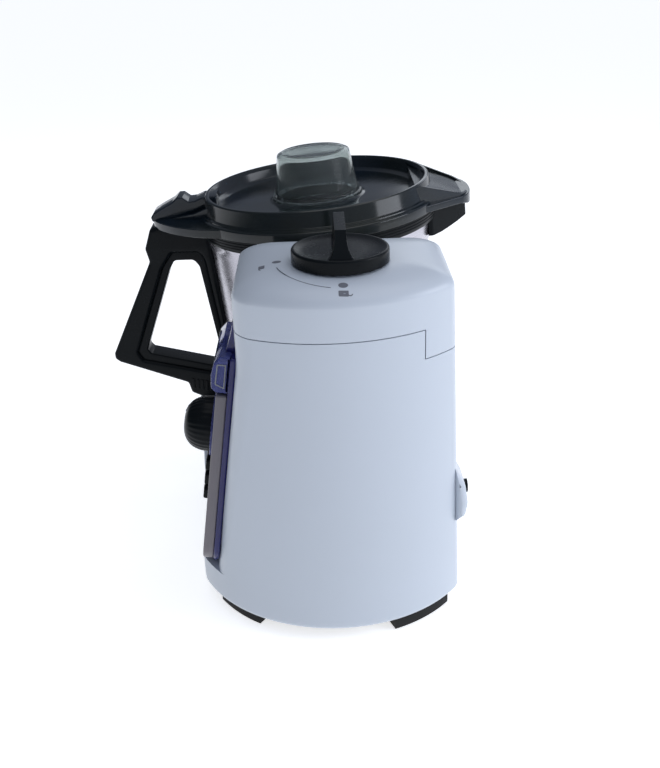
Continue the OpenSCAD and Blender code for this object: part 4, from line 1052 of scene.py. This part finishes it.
def bayRing(z, r, front, rear):  # the bay's plan, round towards -X and straight towards the tower
    reach = bay["reach"]
    ring = [(reach, rear), (mixed(reach, 0, 0.5), mixed(rear, r, 0.5))] + arcOf(0, 0, r, 90, 270, 60)
    ring += [(mixed(reach, 0, 0.5), mixed(front, -r, 0.5)), (reach, front)]
    ring += [(reach, mixed(front, rear, t)) for t in (0.2, 0.4, 0.6, 0.8)]
    return [(x, y, z) for x, y in ring]


def roundRing(like, z, r):  # a circle whose points face those of another ring
    out = []
    for x, y, _ in like:
        a = math.atan2(y, x)
        out.append((r * math.cos(a), r * math.sin(a), z))
    return out


def buildBay():
    front, rear = tower["frontBase"], tower["rearBase"]
    low, top, wall = bay["low"], bay["top"], bay["wall"]

    def outerAt(z):
        t = (z - low - 5) / (top - 3 - low - 5)
        r = mixed(bay["footRadius"] + 1, bay["radius"], t)
        return r, mixed(front, front + 1, t), mixed(rear, rear - 1, t)

    rings = []
    for i in range(6):
        a = math.radians(18 * i)
        r, f, b = outerAt(low + 5)
        inset = 4 * (1 - math.sin(a))
        rings.append(bayRing(low + 5 * (1 - math.cos(a)), r - inset, f + inset, b - inset))
    for z in (24, 37, 52, 70, 84, top - 3):
        r, f, b = outerAt(z)
        rings.append(bayRing(z, r, f, b))
    for i in range(1, 6):
        a = math.radians(18 * i)
        r, f, b = outerAt(top - 3)
        inset = 3 * (1 - math.cos(a))
        rings.append(bayRing(top - 3 + 3 * math.sin(a), r - inset, f + inset, b - inset))
    shape = rings[-1]
    well = bay["well"]
    rings.append(roundRing(shape, top, well[1] + 0.8))
    rings.append(roundRing(shape, top - 0.8, well[1]))
    rings.append(roundRing(shape, bay["floor"] + 1, well[0]))
    rings.append(roundRing(shape, bay["floor"], well[0] - 1))
    rings.append(roundRing(shape, bay["floor"], bay["hole"]))
    rings.append(roundRing(shape, bay["ceiling"], bay["hole"]))
    rings.append(roundRing(shape, bay["ceiling"], 80))
    for z in (bay["ceiling"], low + 5):
        r, f, b = outerAt(z)
        rings.append(bayRing(z, r - wall, f + wall, b - wall))
    lip = 4 + wall * 0.6
    rings.append(bayRing(low, outerAt(low + 5)[0] - lip, front + lip, rear - lip))
    points, faces = loftBetween(rings + [rings[0]], capLow=False, capHigh=False)
    piece = newPiece("bay_casing", points, faces, "white_shell", "housing")
    evenShading(piece, 32)
    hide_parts("jug_bay")


def buildFeet():
    first = None
    cx, cy = tower["middle"]
    pads = ((cx, cy, 90, 114, -58, -34), (cx, cy, 92, 116, 22, 50), (0, 0, 80, 102, 212, 236),
            (0, 0, 80, 102, 124, 148))
    for i, (x, y, r0, r1, a0, a1) in enumerate(pads):
        pad = arcOf(x, y, r1, a0, a1, 14) + arcOf(x, y, r0, a1, a0, 14)
        piece = slabOf("foot_%d" % (i + 1), [pad], 12.4, 1.4, "black_rubber", "housing",
                       lambda a, b, w: (a, b, 6.2 + w))
        evenShading(piece, 30)
        first = first or piece
    piece = slabOf("foot_middle", [arcOf(0, 0, 16, 0, 354, 59)], 12, 1.2, "black_rubber", "housing",
                   lambda a, b, w: (a, b, 6 + w))
    evenShading(piece, 30)
    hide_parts("feet")


def buildHood():
    low, high = boxOf("rear_hood")
    middle, half = (low.x + high.x) / 2, (high.x - low.x) / 2
    z0 = low.z
    profile = rounded([(rearAt(z0) - 2, z0 + 1, 0), (rearAt(z0) + 5.6, z0 + 6, 6),
                       (rearAt(z0) + 7.4, z0 + 17, 9),
                       (rearAt(z0) + 4.8, z0 + 33, 12), (rearAt(z0 + 50) - 2, z0 + 50, 0)], 7)
    piece = slabOf("hood_cap", [profile], 2 * half, 5, "white_shell", "housing",
                   lambda a, b, w: (middle + w, a, b))
    evenShading(piece, 34)
    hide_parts("rear_hood")


placeCamera()
makeFinishes()
buildStudio()
dressNodes()
print("studio, finishes and packed nodes are dressed")
buildTowerShell()
buildCover()
buildMarks(*buildKnob())
print("tower is built")
buildLid()
buildCup()
buildCollar()
buildHandle()
buildVessel()
print("jug and lid are built")
buildPanel()
buildBay()
buildFeet()
buildHood()
print("panel, bay and feet are built")
